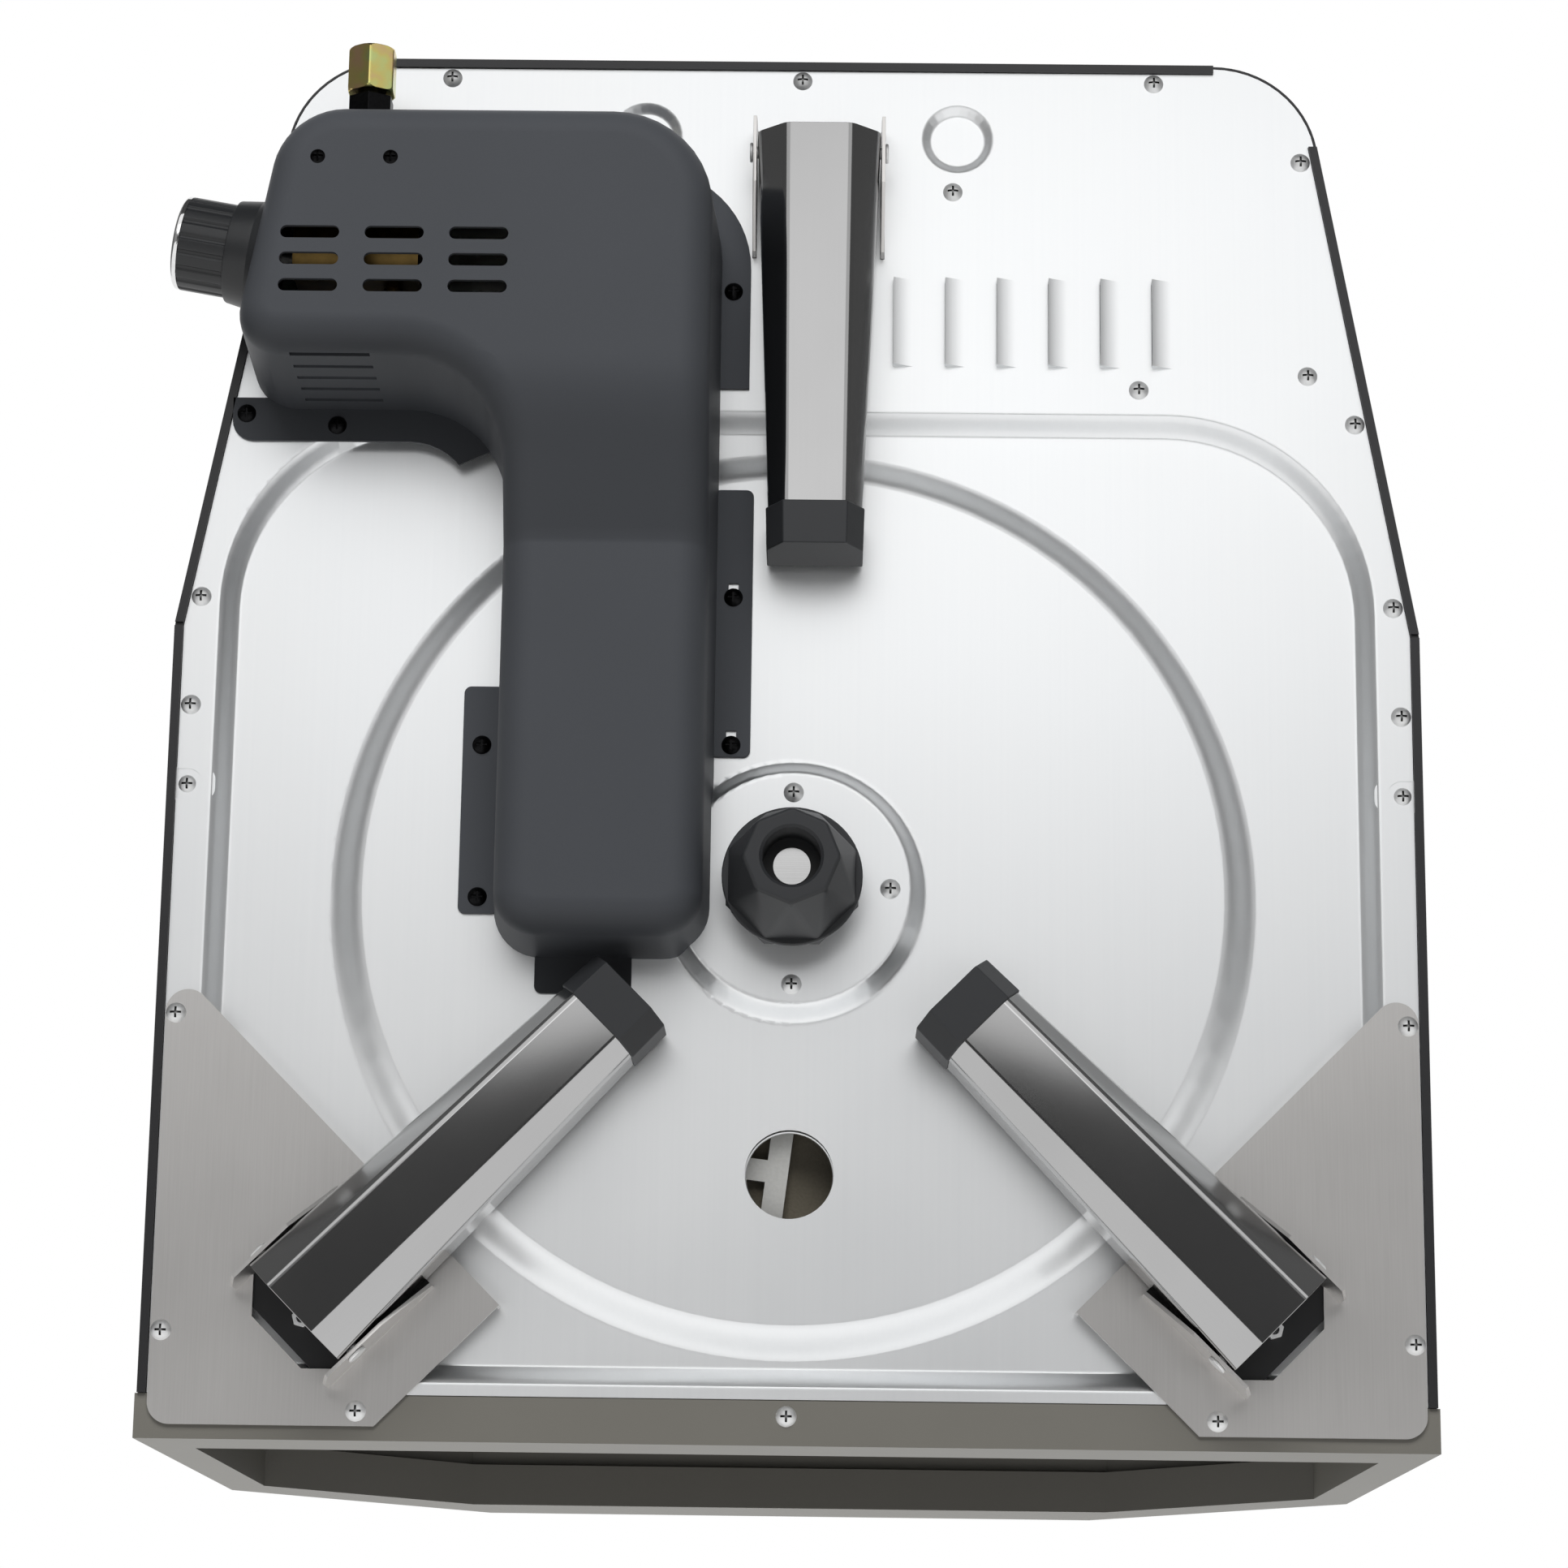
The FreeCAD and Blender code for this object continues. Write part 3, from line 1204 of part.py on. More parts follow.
def cover_tabs():
    """Flat screw tabs along the cover's foot: near, far, rear, front and side ones."""
    near = size("arm_near_side")
    far = size("arm_far_side")
    width = size("tab_width")
    step = size("cover_step")
    tuck = size("cover_wall") / 2
    low = -size("tab_wall")
    front_start = near + size("front_tab_offset")
    near_start = size("near_tab_start")
    rear_start = size("rear_tab_start")
    far_back = size("far_tab_back")
    outer = side_x(step, size("hem_width") + 2 * size("sheet_gap"))
    return [
        box(near - width, near + tuck, near_start, near_start + size("near_tab_length"), low, 0),
        box(far - tuck, far + width, far_back - size("far_tab_length"), far_back, low, 0),
        box(near - size("rear_tab_width"), near + tuck, rear_start, rear_start + size("rear_tab_length"),
            low, 0),
        box(front_start, front_start + size("front_tab_length"), -size("arm_front") - width,
            -size("arm_front") + tuck, low, 0),
        prism([(far + tuck, step - width), (outer, step - width), (outer, step + tuck),
               (far + tuck, step + tuck)], low, 0, [0.0, width / 2, 0.0, 0.0]),
    ]


def cover_tab_screws():
    near = size("arm_near_side") - size("tab_screw_inset")
    far = size("arm_far_side") + size("tab_screw_inset")
    step = size("cover_step")
    side_y = step - size("tab_screw_inset")
    corner_y = step - size("corner_screw_gap")
    places = [(near, size("near_tab_start") + size("near_screw_1")),
              (near, size("near_tab_start") + size("near_screw_2")),
              (far, size("far_tab_back") - size("far_screw_1")),
              (far, size("far_tab_back") - size("far_screw_2")),
              (size("arm_near_side") - size("rear_tab_screw_inset"),
               size("rear_tab_start") + size("rear_tab_screw")),
              (side_x(side_y, size("side_tab_screw")), side_y),
              (side_x(corner_y, size("corner_screw_inset")), corner_y)]
    return [Vector(x, y, -size("tab_wall")) for x, y in places]


def slot_prism(x, y, length, width, low, high):
    """Round-ended slot along X."""
    half = (length - width) / 2
    ends = [rod(width / 2, Vector(x + s * half, y, low), Vector(x + s * half, y, high)) for s in (1, -1)]
    return joined([box(x - half, x + half, y - width / 2, y + width / 2, low, high)] + ends)


knob_axis = Vector(math.cos(slant), math.sin(slant), 0)
knob_seat = Vector(size("knob_seat_side"), size("knob_along_wall"), -size("valve_level"))
valve_far = side_x(size("valve_back"), size("cover_side_margin") + size("valve_side_gap"))
valve_near = valve_far - size("valve_width")
inlet_point = Vector(valve_near + size("inlet_offset"), size("cover_back"), -size("valve_level"))
VALVE_SCREWS = [Vector(x, size("valve_back") - size("valve_screw_inset"),
                       size("cover_screw_sink") - size("cover_depth"))
                for x in (valve_near + size("valve_screw_inset"), valve_far - size("valve_screw_inset"))]


def cover_vents():
    """Block of short slots under the valve and a row of slits in the wall facing the arm."""
    wall = size("cover_wall")
    floor = -size("cover_depth")
    cuts = []
    for i in range(count_of("vent_rows")):
        for k in range(count_of("vent_rows")):
            x = valve_near - size("vent_before_valve") + i * size("vent_pitch_x")
            y = size("cover_step") + size("step_to_vent") + k * size("vent_pitch_y")
            cuts.append(slot_prism(x, y, size("vent_length"), size("vent_width"), floor - wall,
                                   floor + 2 * wall))
    middle = valve_near + size("valve_to_slit")
    half = size("slit_length") / 2
    for i in range(count_of("slit_count")):
        z = -size("slit_first") - i * size("slit_pitch")
        cuts.append(box(middle - half, middle + half, size("cover_step") - wall,
                        size("cover_step") + 2 * size("cover_draft") + wall, z - size("slit_width") / 2,
                        z + size("slit_width") / 2))
    return cuts


def valve_cover():
    wall = size("cover_wall")
    shell = cover_form(0.0).cut(cover_form(wall))
    inside = cover_form(wall / 2)
    shell = joined([shell] + [tab.cut(inside) for tab in cover_tabs()])
    through = knob_axis * (2 * wall)
    back = Vector(0, 2 * wall + size("cover_draft"), 0)
    cuts = cover_vents()
    cuts.append(rod(size("stem_hole"), knob_seat - through, knob_seat + through))
    cuts.append(rod(size("adapter_neck_radius") + size("sheet_gap"), inlet_point - back, inlet_point + back))
    dish_room = Vector(0, 0, -size("dish_height") - size("sheet_gap"))
    cuts.append(rod(size("dish_radius") + size("pan_bend") / 2, dish_room, Vector()))
    sink = Vector(0, 0, size("cover_screw_sink"))
    cuts += [rod(size("cover_screw_radius") + size("cover_screw_gap"), p - sink, p) for p in VALVE_SCREWS]
    return drilled(shell.cut(Part.makeCompound(cuts)), cover_tab_screws() + VALVE_SCREWS)


# Gas valve, pipes and burners
def gas_valve():
    """Valve block on two bosses, with its inlet stub and the bore for its stem."""
    level = -size("valve_level")
    half = size("valve_half_height")
    block = box(valve_near, valve_far, size("valve_front"), size("valve_back"), level - half, level + half)
    floor = size("cover_wall") - size("cover_depth")
    bosses = [rod(size("valve_boss_radius"), Vector(p.x, p.y, floor), Vector(p.x, p.y, level))
              for p in VALVE_SCREWS]
    stub_start = Vector(inlet_point.x, size("valve_back"), level)
    whole = joined([block, rod(size("adapter_neck_radius"), stub_start, inlet_point)] + bosses)
    bore_end = knob_seat - knob_axis * (size("stem_inside") + size("valve_bore_extra"))
    return drilled(whole.cut(rod(size("stem_bore"), bore_end, knob_seat)), VALVE_SCREWS)


def bent_rod(route, radius):
    """Round bar along straight runs joined by tangent arcs of one bend radius."""
    bend = size("gas_pipe_bend")
    edges = []
    start = route[0]
    for before, corner, after in zip(route, route[1:], route[2:]):
        a = (before - corner).normalize()
        b = (after - corner).normalize()
        half = a.getAngle(b) / 2
        reach = bend / math.tan(half)
        middle = corner + (a + b).normalize() * (bend / math.sin(half) - bend)
        edges.append(Part.LineSegment(start, corner + a * reach).toShape())
        edges.append(Part.Arc(corner + a * reach, middle, corner + b * reach).toShape())
        start = corner + b * reach
    edges.append(Part.LineSegment(start, route[-1]).toShape())
    section = Part.Wire(Part.makeCircle(radius, route[0], route[1] - route[0]))
    return Part.Wire(edges).makePipeShell([section], True, False)


def gas_pipe(route):
    return bent_rod(route, size("gas_pipe_radius")).cut(bent_rod(route, size("gas_pipe_bore")))


def rear_pipe_route():
    """From the valve's front, across to the riser and up to the rear burner."""
    level = -size("valve_level")
    start_x = valve_near + size("gas_pipe_offset")
    side = size("gas_riser_side")
    return [Vector(start_x, size("valve_front"), level), Vector(start_x, size("hub_to_burner"), level),
            Vector(side, size("hub_to_burner"), level),
            Vector(side, size("hub_to_burner"), size("burner_level") - size("burner_radius"))]


def hearth_pipe_route():
    """From the valve's side, along the arm and up to the burner under the stone."""
    level = size("hearth_pipe_rise") - size("valve_level")
    behind = size("valve_back") - size("gas_pipe_offset")
    side = size("hearth_riser_side")
    return [Vector(valve_near, behind, level), Vector(side, behind, level),
            Vector(side, size("hearth_burner_back"), level),
            Vector(side, size("hearth_burner_back"), size("pan_wall"))]


def rear_burner():
    """Tube burner behind the stone with a row of ports facing the mouth."""
    half = size("burner_half_length")
    radius = size("burner_radius")
    wall = size("burner_wall")
    middle = Vector(0, size("hub_to_burner"), size("burner_level"))
    run = Vector(half, 0, 0)
    inner_run = Vector(half - wall, 0, 0)
    hollow = rod(radius - wall, middle - inner_run, middle + inner_run)
    tube = rod(radius, middle - run, middle + run).cut(hollow)
    steps = int((half - 2 * radius) / size("burner_port_pitch"))
    cuts = []
    for i in range(-steps, steps + 1):
        start = middle + Vector(i * size("burner_port_pitch"), 0, 0)
        cuts.append(rod(size("burner_port") / 2, start, start - Vector(0, 2 * radius, 0)))
    feed = Vector(size("gas_riser_side"), middle.y, middle.z)
    cuts.append(rod(size("gas_pipe_bore"), feed, feed - Vector(0, 0, 2 * radius)))
    return tube.cut(Part.makeCompound(cuts))


def burner_bracket(side):
    """Post with a saddle for the burner tube and a foot on the pan."""
    x = side * size("burner_bracket_side")
    y = size("hub_to_burner")
    wall = size("burner_bracket_wall")
    half = size("burner_bracket_half")
    low = size("pan_wall")
    post = box(x - wall / 2, x + wall / 2, y - half, y + half, low, size("burner_level"))
    foot = box(x - half, x + half, y - half, y + half, low, low + wall)
    saddle = Vector(x, y, size("burner_level"))
    run = Vector(2 * half, 0, 0)
    return joined([post, foot]).cut(rod(size("burner_radius"), saddle - run, saddle + run))


def hearth_burner():
    """Shallow box burner under the stone, with rows of ports and a hole for its pipe."""
    wall = size("burner_wall")
    low = size("pan_wall")
    high = low + size("hearth_burner_height")
    half_x = size("hearth_burner_half_width")
    half_y = size("hearth_burner_half_depth")
    middle = Vector(size("hearth_burner_side"), size("hearth_burner_back"), high)
    outer = box(middle.x - half_x, middle.x + half_x, middle.y - half_y, middle.y + half_y, low, high)
    inner = box(middle.x - half_x + wall, middle.x + half_x - wall, middle.y - half_y + wall,
                middle.y + half_y - wall, low + wall, high - wall)
    pitch = size("burner_port_pitch")
    across = int((half_x - pitch / 2) / pitch)
    along = int((half_y - pitch / 2) / pitch)
    cuts = []
    for i in range(-across, across + 1):
        for k in range(-along, along + 1):
            start = middle + Vector(i * pitch, k * pitch, 0)
            cuts.append(rod(size("burner_port") / 2, start - Vector(0, 0, 2 * wall), start))
    feed = Vector(size("hearth_riser_side"), middle.y, low)
    cuts.append(rod(size("gas_pipe_bore"), feed, feed + Vector(0, 0, 2 * wall)))
    return outer.cut(inner).cut(Part.makeCompound(cuts))


# Sheet-metal sub-parts
feature("bottom_pan", bottom_pan())
for label, panel in shell_panels().items():
    feature(label, panel)
feature("front_fascia", front_fascia())
feature("oven_liner", oven_liner())
feature("rear_bulkhead", rear_bulkhead())
insulation = new_body("roof_insulation")
INSULATION_HALF = "({roof_half_width} - {insulation_margin})"
INSULATION_BACK_HALF = "({roof_back_half_width} - {insulation_margin})"
INSULATION_BACK = "({hub_to_roof_back} - {insulation_margin})"
INSULATION_BEND = "({roof_bend} - {insulation_margin})"
INSULATION_FRONT = "({insulation_margin} - {hub_to_front})"
add_pad(insulation, "insulation_blanket", [[
    (INSULATION_HALF, INSULATION_FRONT), (INSULATION_HALF, INSULATION_BEND),
    (INSULATION_BACK_HALF, INSULATION_BACK), ("-" + INSULATION_BACK_HALF, INSULATION_BACK),
    ("-" + INSULATION_HALF, INSULATION_BEND), ("-" + INSULATION_HALF, INSULATION_FRONT)]],
    "{roof_height} - {shell_wall} - {liner_top} - 2 * {insulation_gap}", "{liner_top} + {insulation_gap}")

# Hinges and legs
feature("right_gusset", right_gusset())
feature("left_gusset", right_gusset().mirror(Vector(), Vector(1, 0, 0)))
feature("hinge_backing_plates", Part.makeCompound([backing_plate("right"), backing_plate("left")]))
feature("hinge_nuts", Part.makeCompound([hinge_nut("right"), hinge_nut("left")]))
feature("rear_leg_bracket", rear_leg_bracket())
feature("leg_pins", Part.makeCompound([leg_pin(side) for side in LEGS]))
LEG_PLACES = {
    "right": {"x": "{front_leg_side}", "y": "-{front_leg_forward}"},
    "left": {"x": "-{front_leg_side}", "y": "-{front_leg_forward}"},
    "rear": {"x": "-{rear_leg_offset}", "y": "{hub_to_rear_leg}"},
}
for side, place in LEG_PLACES.items():
    folding_leg(side, place)
    foot_cap(side, place)

# Turntable
housing = turned("bearing_housing", [
    ("{bush_radius}", "{housing_end}"), ("{housing_radius}", "{housing_end}"),
    ("{housing_radius}", "{dish_top}"), ("{housing_flange_radius}", "{dish_top}"),
    ("{housing_flange_radius}", "{dish_top} + {housing_flange}"),
    ("{housing_radius}", "{dish_top} + {housing_flange}"),
    ("{housing_radius}", "{housing_height}"), ("{bush_radius}", "{housing_height}")])
housing_hole = add_round_pocket(housing, "housing_hole", "{screw_hole}", "{dish_top} + {housing_flange}",
                                "{housing_flange} + {pan_wall}", "{housing_screw_circle}")
add_ring_pattern(housing, "housing_holes", housing_hole, doc.getObject("housing_hole_circle"), "4")
for label, low in (("lower_bush", "{housing_end}"), ("upper_bush", "{housing_height} - {bush_length}")):
    high = low + " + {bush_length}"
    turned(label, rectangle("{bore_radius}", "{bush_radius}", low, high))
turned("spindle", rectangle("0", "{spindle_radius}", "-{spindle_end}", "{spider_top}"))
turned("thrust_washer", rectangle("{bore_radius}", "{spider_hub_radius}", "{housing_height}", "{spider_low}"))
turntable_spider()
turned("pizza_stone", [
    ("0", "{stone_low}"), ("{stone_radius} - {stone_chamfer}", "{stone_low}"),
    ("{stone_radius}", "{stone_low} + {stone_chamfer}"), ("{stone_radius}", "{stone_top} - {stone_chamfer}"),
    ("{stone_radius} - {stone_chamfer}", "{stone_top}"), ("0", "{stone_top}")])
feature("hub_knob", hub_knob())

# Gas controls and burners
feature("valve_cover", valve_cover())
feature("gas_valve", gas_valve())
feature("rear_gas_pipe", gas_pipe(rear_pipe_route()))
feature("hearth_gas_pipe", gas_pipe(hearth_pipe_route()))
feature("rear_burner", rear_burner())
feature("burner_brackets", Part.makeCompound([burner_bracket(1), burner_bracket(-1)]))
feature("hearth_burner", hearth_burner())
turned("spark_electrode", [
    ("0", "{pan_wall}"), ("{electrode_radius}", "{pan_wall}"),
    ("{electrode_radius}", "{pan_wall} + {electrode_height}"),
    ("{electrode_tip_radius}", "{pan_wall} + {electrode_height}"),
    ("{electrode_tip_radius}", "{pan_wall} + {electrode_height} + {electrode_tip}"),
    ("0", "{pan_wall} + {electrode_height} + {electrode_tip}")],
    x="{electrode_side}", y="{hub_to_burner} + {burner_radius} + {electrode_gap} + {electrode_radius}")

# Gas knob on the slanted wall of the cover: its own Z axis points outwards
KNOB_PLACE = {"x": "{knob_seat_side}", "y": "{knob_along_wall}", "z": "-{valve_level}",
              "rotation": Rotation(Vector(0, 0, 1), knob_axis)}
turned("knob_bezel", [
    ("{stem_hole}", "0"), ("{bezel_radius}", "0"), ("{bezel_lip_radius}", "{bezel_height}"),
    ("{bezel_bore}", "{bezel_height}"), ("{bezel_bore}", "{bezel_back}"), ("{stem_hole}", "{bezel_back}")],
    **KNOB_PLACE)
turned("valve_stem", rectangle("0", "{stem_radius}", "-{stem_inside}", "{stem_end}"), **KNOB_PLACE)
knob = turned("gas_knob", [
    ("{stem_bore}", "{gas_knob_stand_off}"), ("{gas_knob_radius}", "{gas_knob_stand_off}"),
    ("{gas_knob_radius}", "{ring_start}"), ("0", "{ring_start}"),
    ("0", "{stem_end} + {running_gap}"), ("{stem_bore}", "{stem_end} + {running_gap}")], **KNOB_PLACE)
flute = add_round_pocket(knob, "knob_flute", "{gas_knob_flute}", "{ring_start}", "{knob_reach}",
                         "{gas_knob_radius} + {gas_knob_flute} / 2")
add_ring_pattern(knob, "knob_flutes", flute, doc.getObject("knob_flute_circle"), "{gas_knob_flutes}")
turned("knob_ring", [
    ("0", "{ring_start}"), ("{gas_knob_radius}", "{ring_start}"),
    ("{gas_knob_radius}", "{knob_reach} - {gas_knob_ring} / 3"),
    ("{gas_knob_radius} - {gas_knob_ring} / 3", "{knob_reach}"), ("0", "{knob_reach}")], **KNOB_PLACE)

# Gas inlet at the back: black adapter, then the swivel nut held by the adapter's collar
INLET_PLACE = {"x": "%.9f" % inlet_point.x, "z": "-{valve_level}", "rotation": Rotation(Vector(1, 0, 0), -90)}
adapter = new_body("inlet_adapter", y="{cover_back}", **INLET_PLACE)
add_pad(adapter, "adapter_hexagon", [hexagon("{adapter_flats}")], "{adapter_hex}")
add_turning(adapter, "adapter_neck", [
    ("0", "{adapter_hex}"), ("{adapter_neck_radius}", "{adapter_hex}"),
    ("{adapter_neck_radius}", "{adapter_neck_top}"), ("{adapter_collar_radius}", "{adapter_neck_top}"),
    ("{adapter_collar_radius}", "{adapter_end}"), ("0", "{adapter_end}")])
nut = new_body("inlet_nut", y="{cover_back} + {nut_start}", **INLET_PLACE)
add_pad(nut, "nut_hexagon", [hexagon("{nut_flats}")], "{nut_length}")
add_round_pocket(nut, "nut_thread", "{nut_thread_radius}", "{nut_length}",
                 "{nut_length} - {nut_lip} - {nut_collar_room}")
add_round_pocket(nut, "nut_collar_seat", "{nut_bore_radius}", "{nut_length}", "{nut_length} - {nut_lip}")
add_round_pocket(nut, "nut_lip_hole", "{adapter_neck_radius} + {nut_gap}", "{nut_lip}", "{nut_lip}")

# Fasteners, one group to each kind
feature("pan_screws", screw_group(RIM_SCREWS + INNER_SCREWS + BRACKET_SCREWS + TAB_SCREWS,
                                  size("screw_head_radius")))
feature("gusset_screws", screw_group(GUSSET_SCREWS + GUSSET_FASCIA_SCREWS + [FASCIA_SCREW],
                                     size("screw_head_radius")))
feature("hub_screws", screw_group(HUB_SCREWS, size("screw_head_radius")))
feature("cover_screws", screw_group(cover_tab_screws(), size("cover_screw_radius")))
feature("valve_screws", screw_group(VALVE_SCREWS, size("cover_screw_radius")))

doc.recompute()
for item in doc.Objects:
    if "Invalid" in item.State or "Error" in item.State:
        raise RuntimeError("%s failed to build: %s" % (item.Label, item.State))
for part in SUBPARTS:
    if part.Shape.isNull() or not part.Shape.isValid():
        raise RuntimeError("%s has no valid shape" % part.Label)
for part in SUBPARTS:
    part.Shape.exportStep("parts/%s.step" % part.Label)
    print(part.Label, len(part.Shape.Solids), round(part.Shape.Volume, 1))
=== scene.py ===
# %% [markdown]
# # A portable gas pizza oven, seen from below
# The imported model is the fixed frame of this lesson. It is loaded first. The dressed oven has to stay
# inside it. Every other cell adds looks: finer shapes for the pieces that show most, and a finish for
# each surface.

# %% Load the frame
import json
import math

import bpy
from mathutils import Matrix, Vector


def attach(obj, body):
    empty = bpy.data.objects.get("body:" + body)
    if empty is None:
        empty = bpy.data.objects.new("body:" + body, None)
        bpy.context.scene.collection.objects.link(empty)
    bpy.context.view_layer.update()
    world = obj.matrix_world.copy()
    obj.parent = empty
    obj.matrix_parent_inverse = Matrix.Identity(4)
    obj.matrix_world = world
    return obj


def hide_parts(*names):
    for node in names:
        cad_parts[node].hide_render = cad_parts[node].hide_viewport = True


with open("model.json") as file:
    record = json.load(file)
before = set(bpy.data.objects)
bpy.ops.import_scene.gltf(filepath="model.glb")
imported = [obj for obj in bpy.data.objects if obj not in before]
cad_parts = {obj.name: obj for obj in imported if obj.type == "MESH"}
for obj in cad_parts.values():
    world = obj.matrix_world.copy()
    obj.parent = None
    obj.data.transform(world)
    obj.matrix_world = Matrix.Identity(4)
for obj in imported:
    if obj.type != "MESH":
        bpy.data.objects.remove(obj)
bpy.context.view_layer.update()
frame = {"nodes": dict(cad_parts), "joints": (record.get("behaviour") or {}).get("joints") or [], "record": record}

MM = 0.001
NODES = frame["nodes"]
JOINTS = {joint["name"]: joint for joint in frame["joints"]}
BODY_OF = {node: body for body, nodes in frame["record"]["behaviour"]["bodies"].items() for node in nodes}
SLOT_OF = {part["node"]: part["material_slot"] for part in frame["record"]["subparts"]}
HUB = Vector(JOINTS["turntable_spin"]["pos_m"])

# %% [markdown]
# ## Tools for the bench
# Blender's operators act on whatever is selected, so each helper starts from an empty selection. A piece
# is picked apart in code, by where its corners, edges or faces are, and then shaped in edit mode as by
# hand. Places are written in millimetres from the hub axis, at the level of the pan's rim, because that
# is how the sheet-metal drawing is dimensioned.


# %% Selecting in code
def spot(x, y, z):
    """A place on the oven, from millimetres beside, behind and above the hub at the pan's rim."""
    return HUB + Vector((x, y, z)) * MM


def only(piece):
    """Make one piece the only selected and active one, in object mode."""
    if bpy.context.mode != "OBJECT":
        bpy.ops.object.mode_set(mode="OBJECT")
    bpy.ops.object.select_all(action="DESELECT")
    piece.select_set(True)
    bpy.context.view_layer.objects.active = piece


def pick(piece, kind, test):
    """Select the corners, edges or faces of a piece whose place and normal pass a test, in edit mode."""
    only(piece)
    bpy.ops.object.mode_set(mode="EDIT")
    bpy.ops.mesh.select_mode(type=kind)
    bpy.ops.mesh.select_all(action="DESELECT")
    bpy.ops.object.mode_set(mode="OBJECT")
    mesh = piece.data
    if kind == "VERT":
        for vertex in mesh.vertices:
            vertex.select = test(vertex.co)
    elif kind == "EDGE":
        for edge in mesh.edges:
            a, b = (mesh.vertices[i].co for i in edge.vertices)
            edge.select = test((a + b) / 2, (b - a))
    else:
        for face in mesh.polygons:
            face.select = test(face.center, face.normal)
    bpy.ops.object.mode_set(mode="EDIT")


# %% [markdown]
# A modifier is added, set and applied at once, so a finished piece is plain mesh. Shading by angle keeps
# flat faces flat and round ones round. A finished piece has its place in its mesh and its object at the
# origin, as the frame's own pieces have, so that patterns sit still on it.


# %% Finishing a piece
def use(piece, kind, name, **settings):
    """Add a modifier, set it and apply it."""
    modifier = piece.modifiers.new(name, kind)
    for key, value in settings.items():
        setattr(modifier, key, value)
    only(piece)
    bpy.ops.object.modifier_apply(modifier=modifier.name)


def round_edges(piece, width, segments=2, angle=40):
    """Bevel of some millimetres along every edge sharper than an angle."""
    use(piece, "BEVEL", "edges", width=width * MM, segments=segments, limit_method="ANGLE",
        angle_limit=math.radians(angle))


def smooth(piece, angle=35):
    """Smooth shading with the flat faces kept flat."""
    bpy.ops.object.mode_set(mode="OBJECT")
    only(piece)
    bpy.ops.object.shade_smooth_by_angle(angle=math.radians(angle))
    use(piece, "WEIGHTED_NORMAL", "flat_faces", keep_sharp=True, weight=80)


def seat(piece, name, matrix=None):
    """Name a piece, apply its place and leave its object at the origin."""
    bpy.ops.object.mode_set(mode="OBJECT")
    piece.name = name
    piece.data.name = name
    if matrix is not None:
        piece.matrix_world = matrix
    only(piece)
    bpy.ops.object.transform_apply(location=True, rotation=True, scale=True)
    return piece


def stand_for(piece, node):
    """Let a piece take the place of a node: it rides on the node's body, and the node is hidden."""
    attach(piece, BODY_OF[node])
    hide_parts(node)
    print(piece.name, "stands for", node, "with", len(piece.data.polygons), "faces")


# %% [markdown]
# Blocks, rods and cones are where most pieces start, and the shapes that cut holes are made from them too.


# %% Blocks, rods and holes
def cube(x, y, z):
    """Block from three (low, high) pairs in millimetres."""
    bpy.ops.object.select_all(action="DESELECT")
    middle = [(low + high) / 2 * MM for low, high in (x, y, z)]
    bpy.ops.mesh.primitive_cube_add(size=1, location=middle)
    block = bpy.context.object
    block.scale = [(high - low) * MM for low, high in (x, y, z)]
    only(block)
    bpy.ops.object.transform_apply(location=True, rotation=True, scale=True)
    return block


def join(pieces):
    """Make one piece of several; the first keeps its name."""
    bpy.ops.object.select_all(action="DESELECT")
    for piece in pieces:
        piece.select_set(True)
    bpy.context.view_layer.objects.active = pieces[0]
    bpy.ops.object.join()
    return pieces[0]


def cut(piece, cutters):
    """Take the joined cutters out of a piece and throw them away."""
    tool = join(cutters) if len(cutters) > 1 else cutters[0]
    use(piece, "BOOLEAN", "holes", operation="DIFFERENCE", object=tool, solver="EXACT")
    bpy.data.objects.remove(tool)


def tapered_rod(low_radius, high_radius, low, high, sides=48):
    """Upright rod or cone about the hub's axis, between two levels."""
    bpy.ops.object.select_all(action="DESELECT")
    bpy.ops.mesh.primitive_cone_add(vertices=sides, radius1=low_radius * MM, radius2=high_radius * MM,
                                    depth=(high - low) * MM, location=(0, 0, (low + high) / 2 * MM))
    return seat(bpy.context.object, "rod")


AT_HUB = Matrix.Translation(HUB)

# %% [markdown]
# ## Sheet metal with broken edges
# Every real sheet has a small radius on its edges, and that line of light is what makes metal look like
# metal. The frame's own meshes are left alone. A copy of each is merged, its flat triangles are dissolved
# into whole faces, and a narrow bevel breaks the edges.


# %% Pressed slopes
RECESS_DEPTH = 8.0
DISH_HEIGHT = 8.0
DIMPLE_RISE = 3.0
DIMPLE_START = 290.0
LOUVRE_START = 222.0
SLOPE_CUTS = 5
# A face is part of a slope if the downward share of its normal lies between these. Subdividing leaves
# flat neighbours with slightly tilted normals, so the second pick goes closer to flat.
STEEPEST = 0.3
FLATTEST = 0.97
FLATTEST_CUT = 0.9995


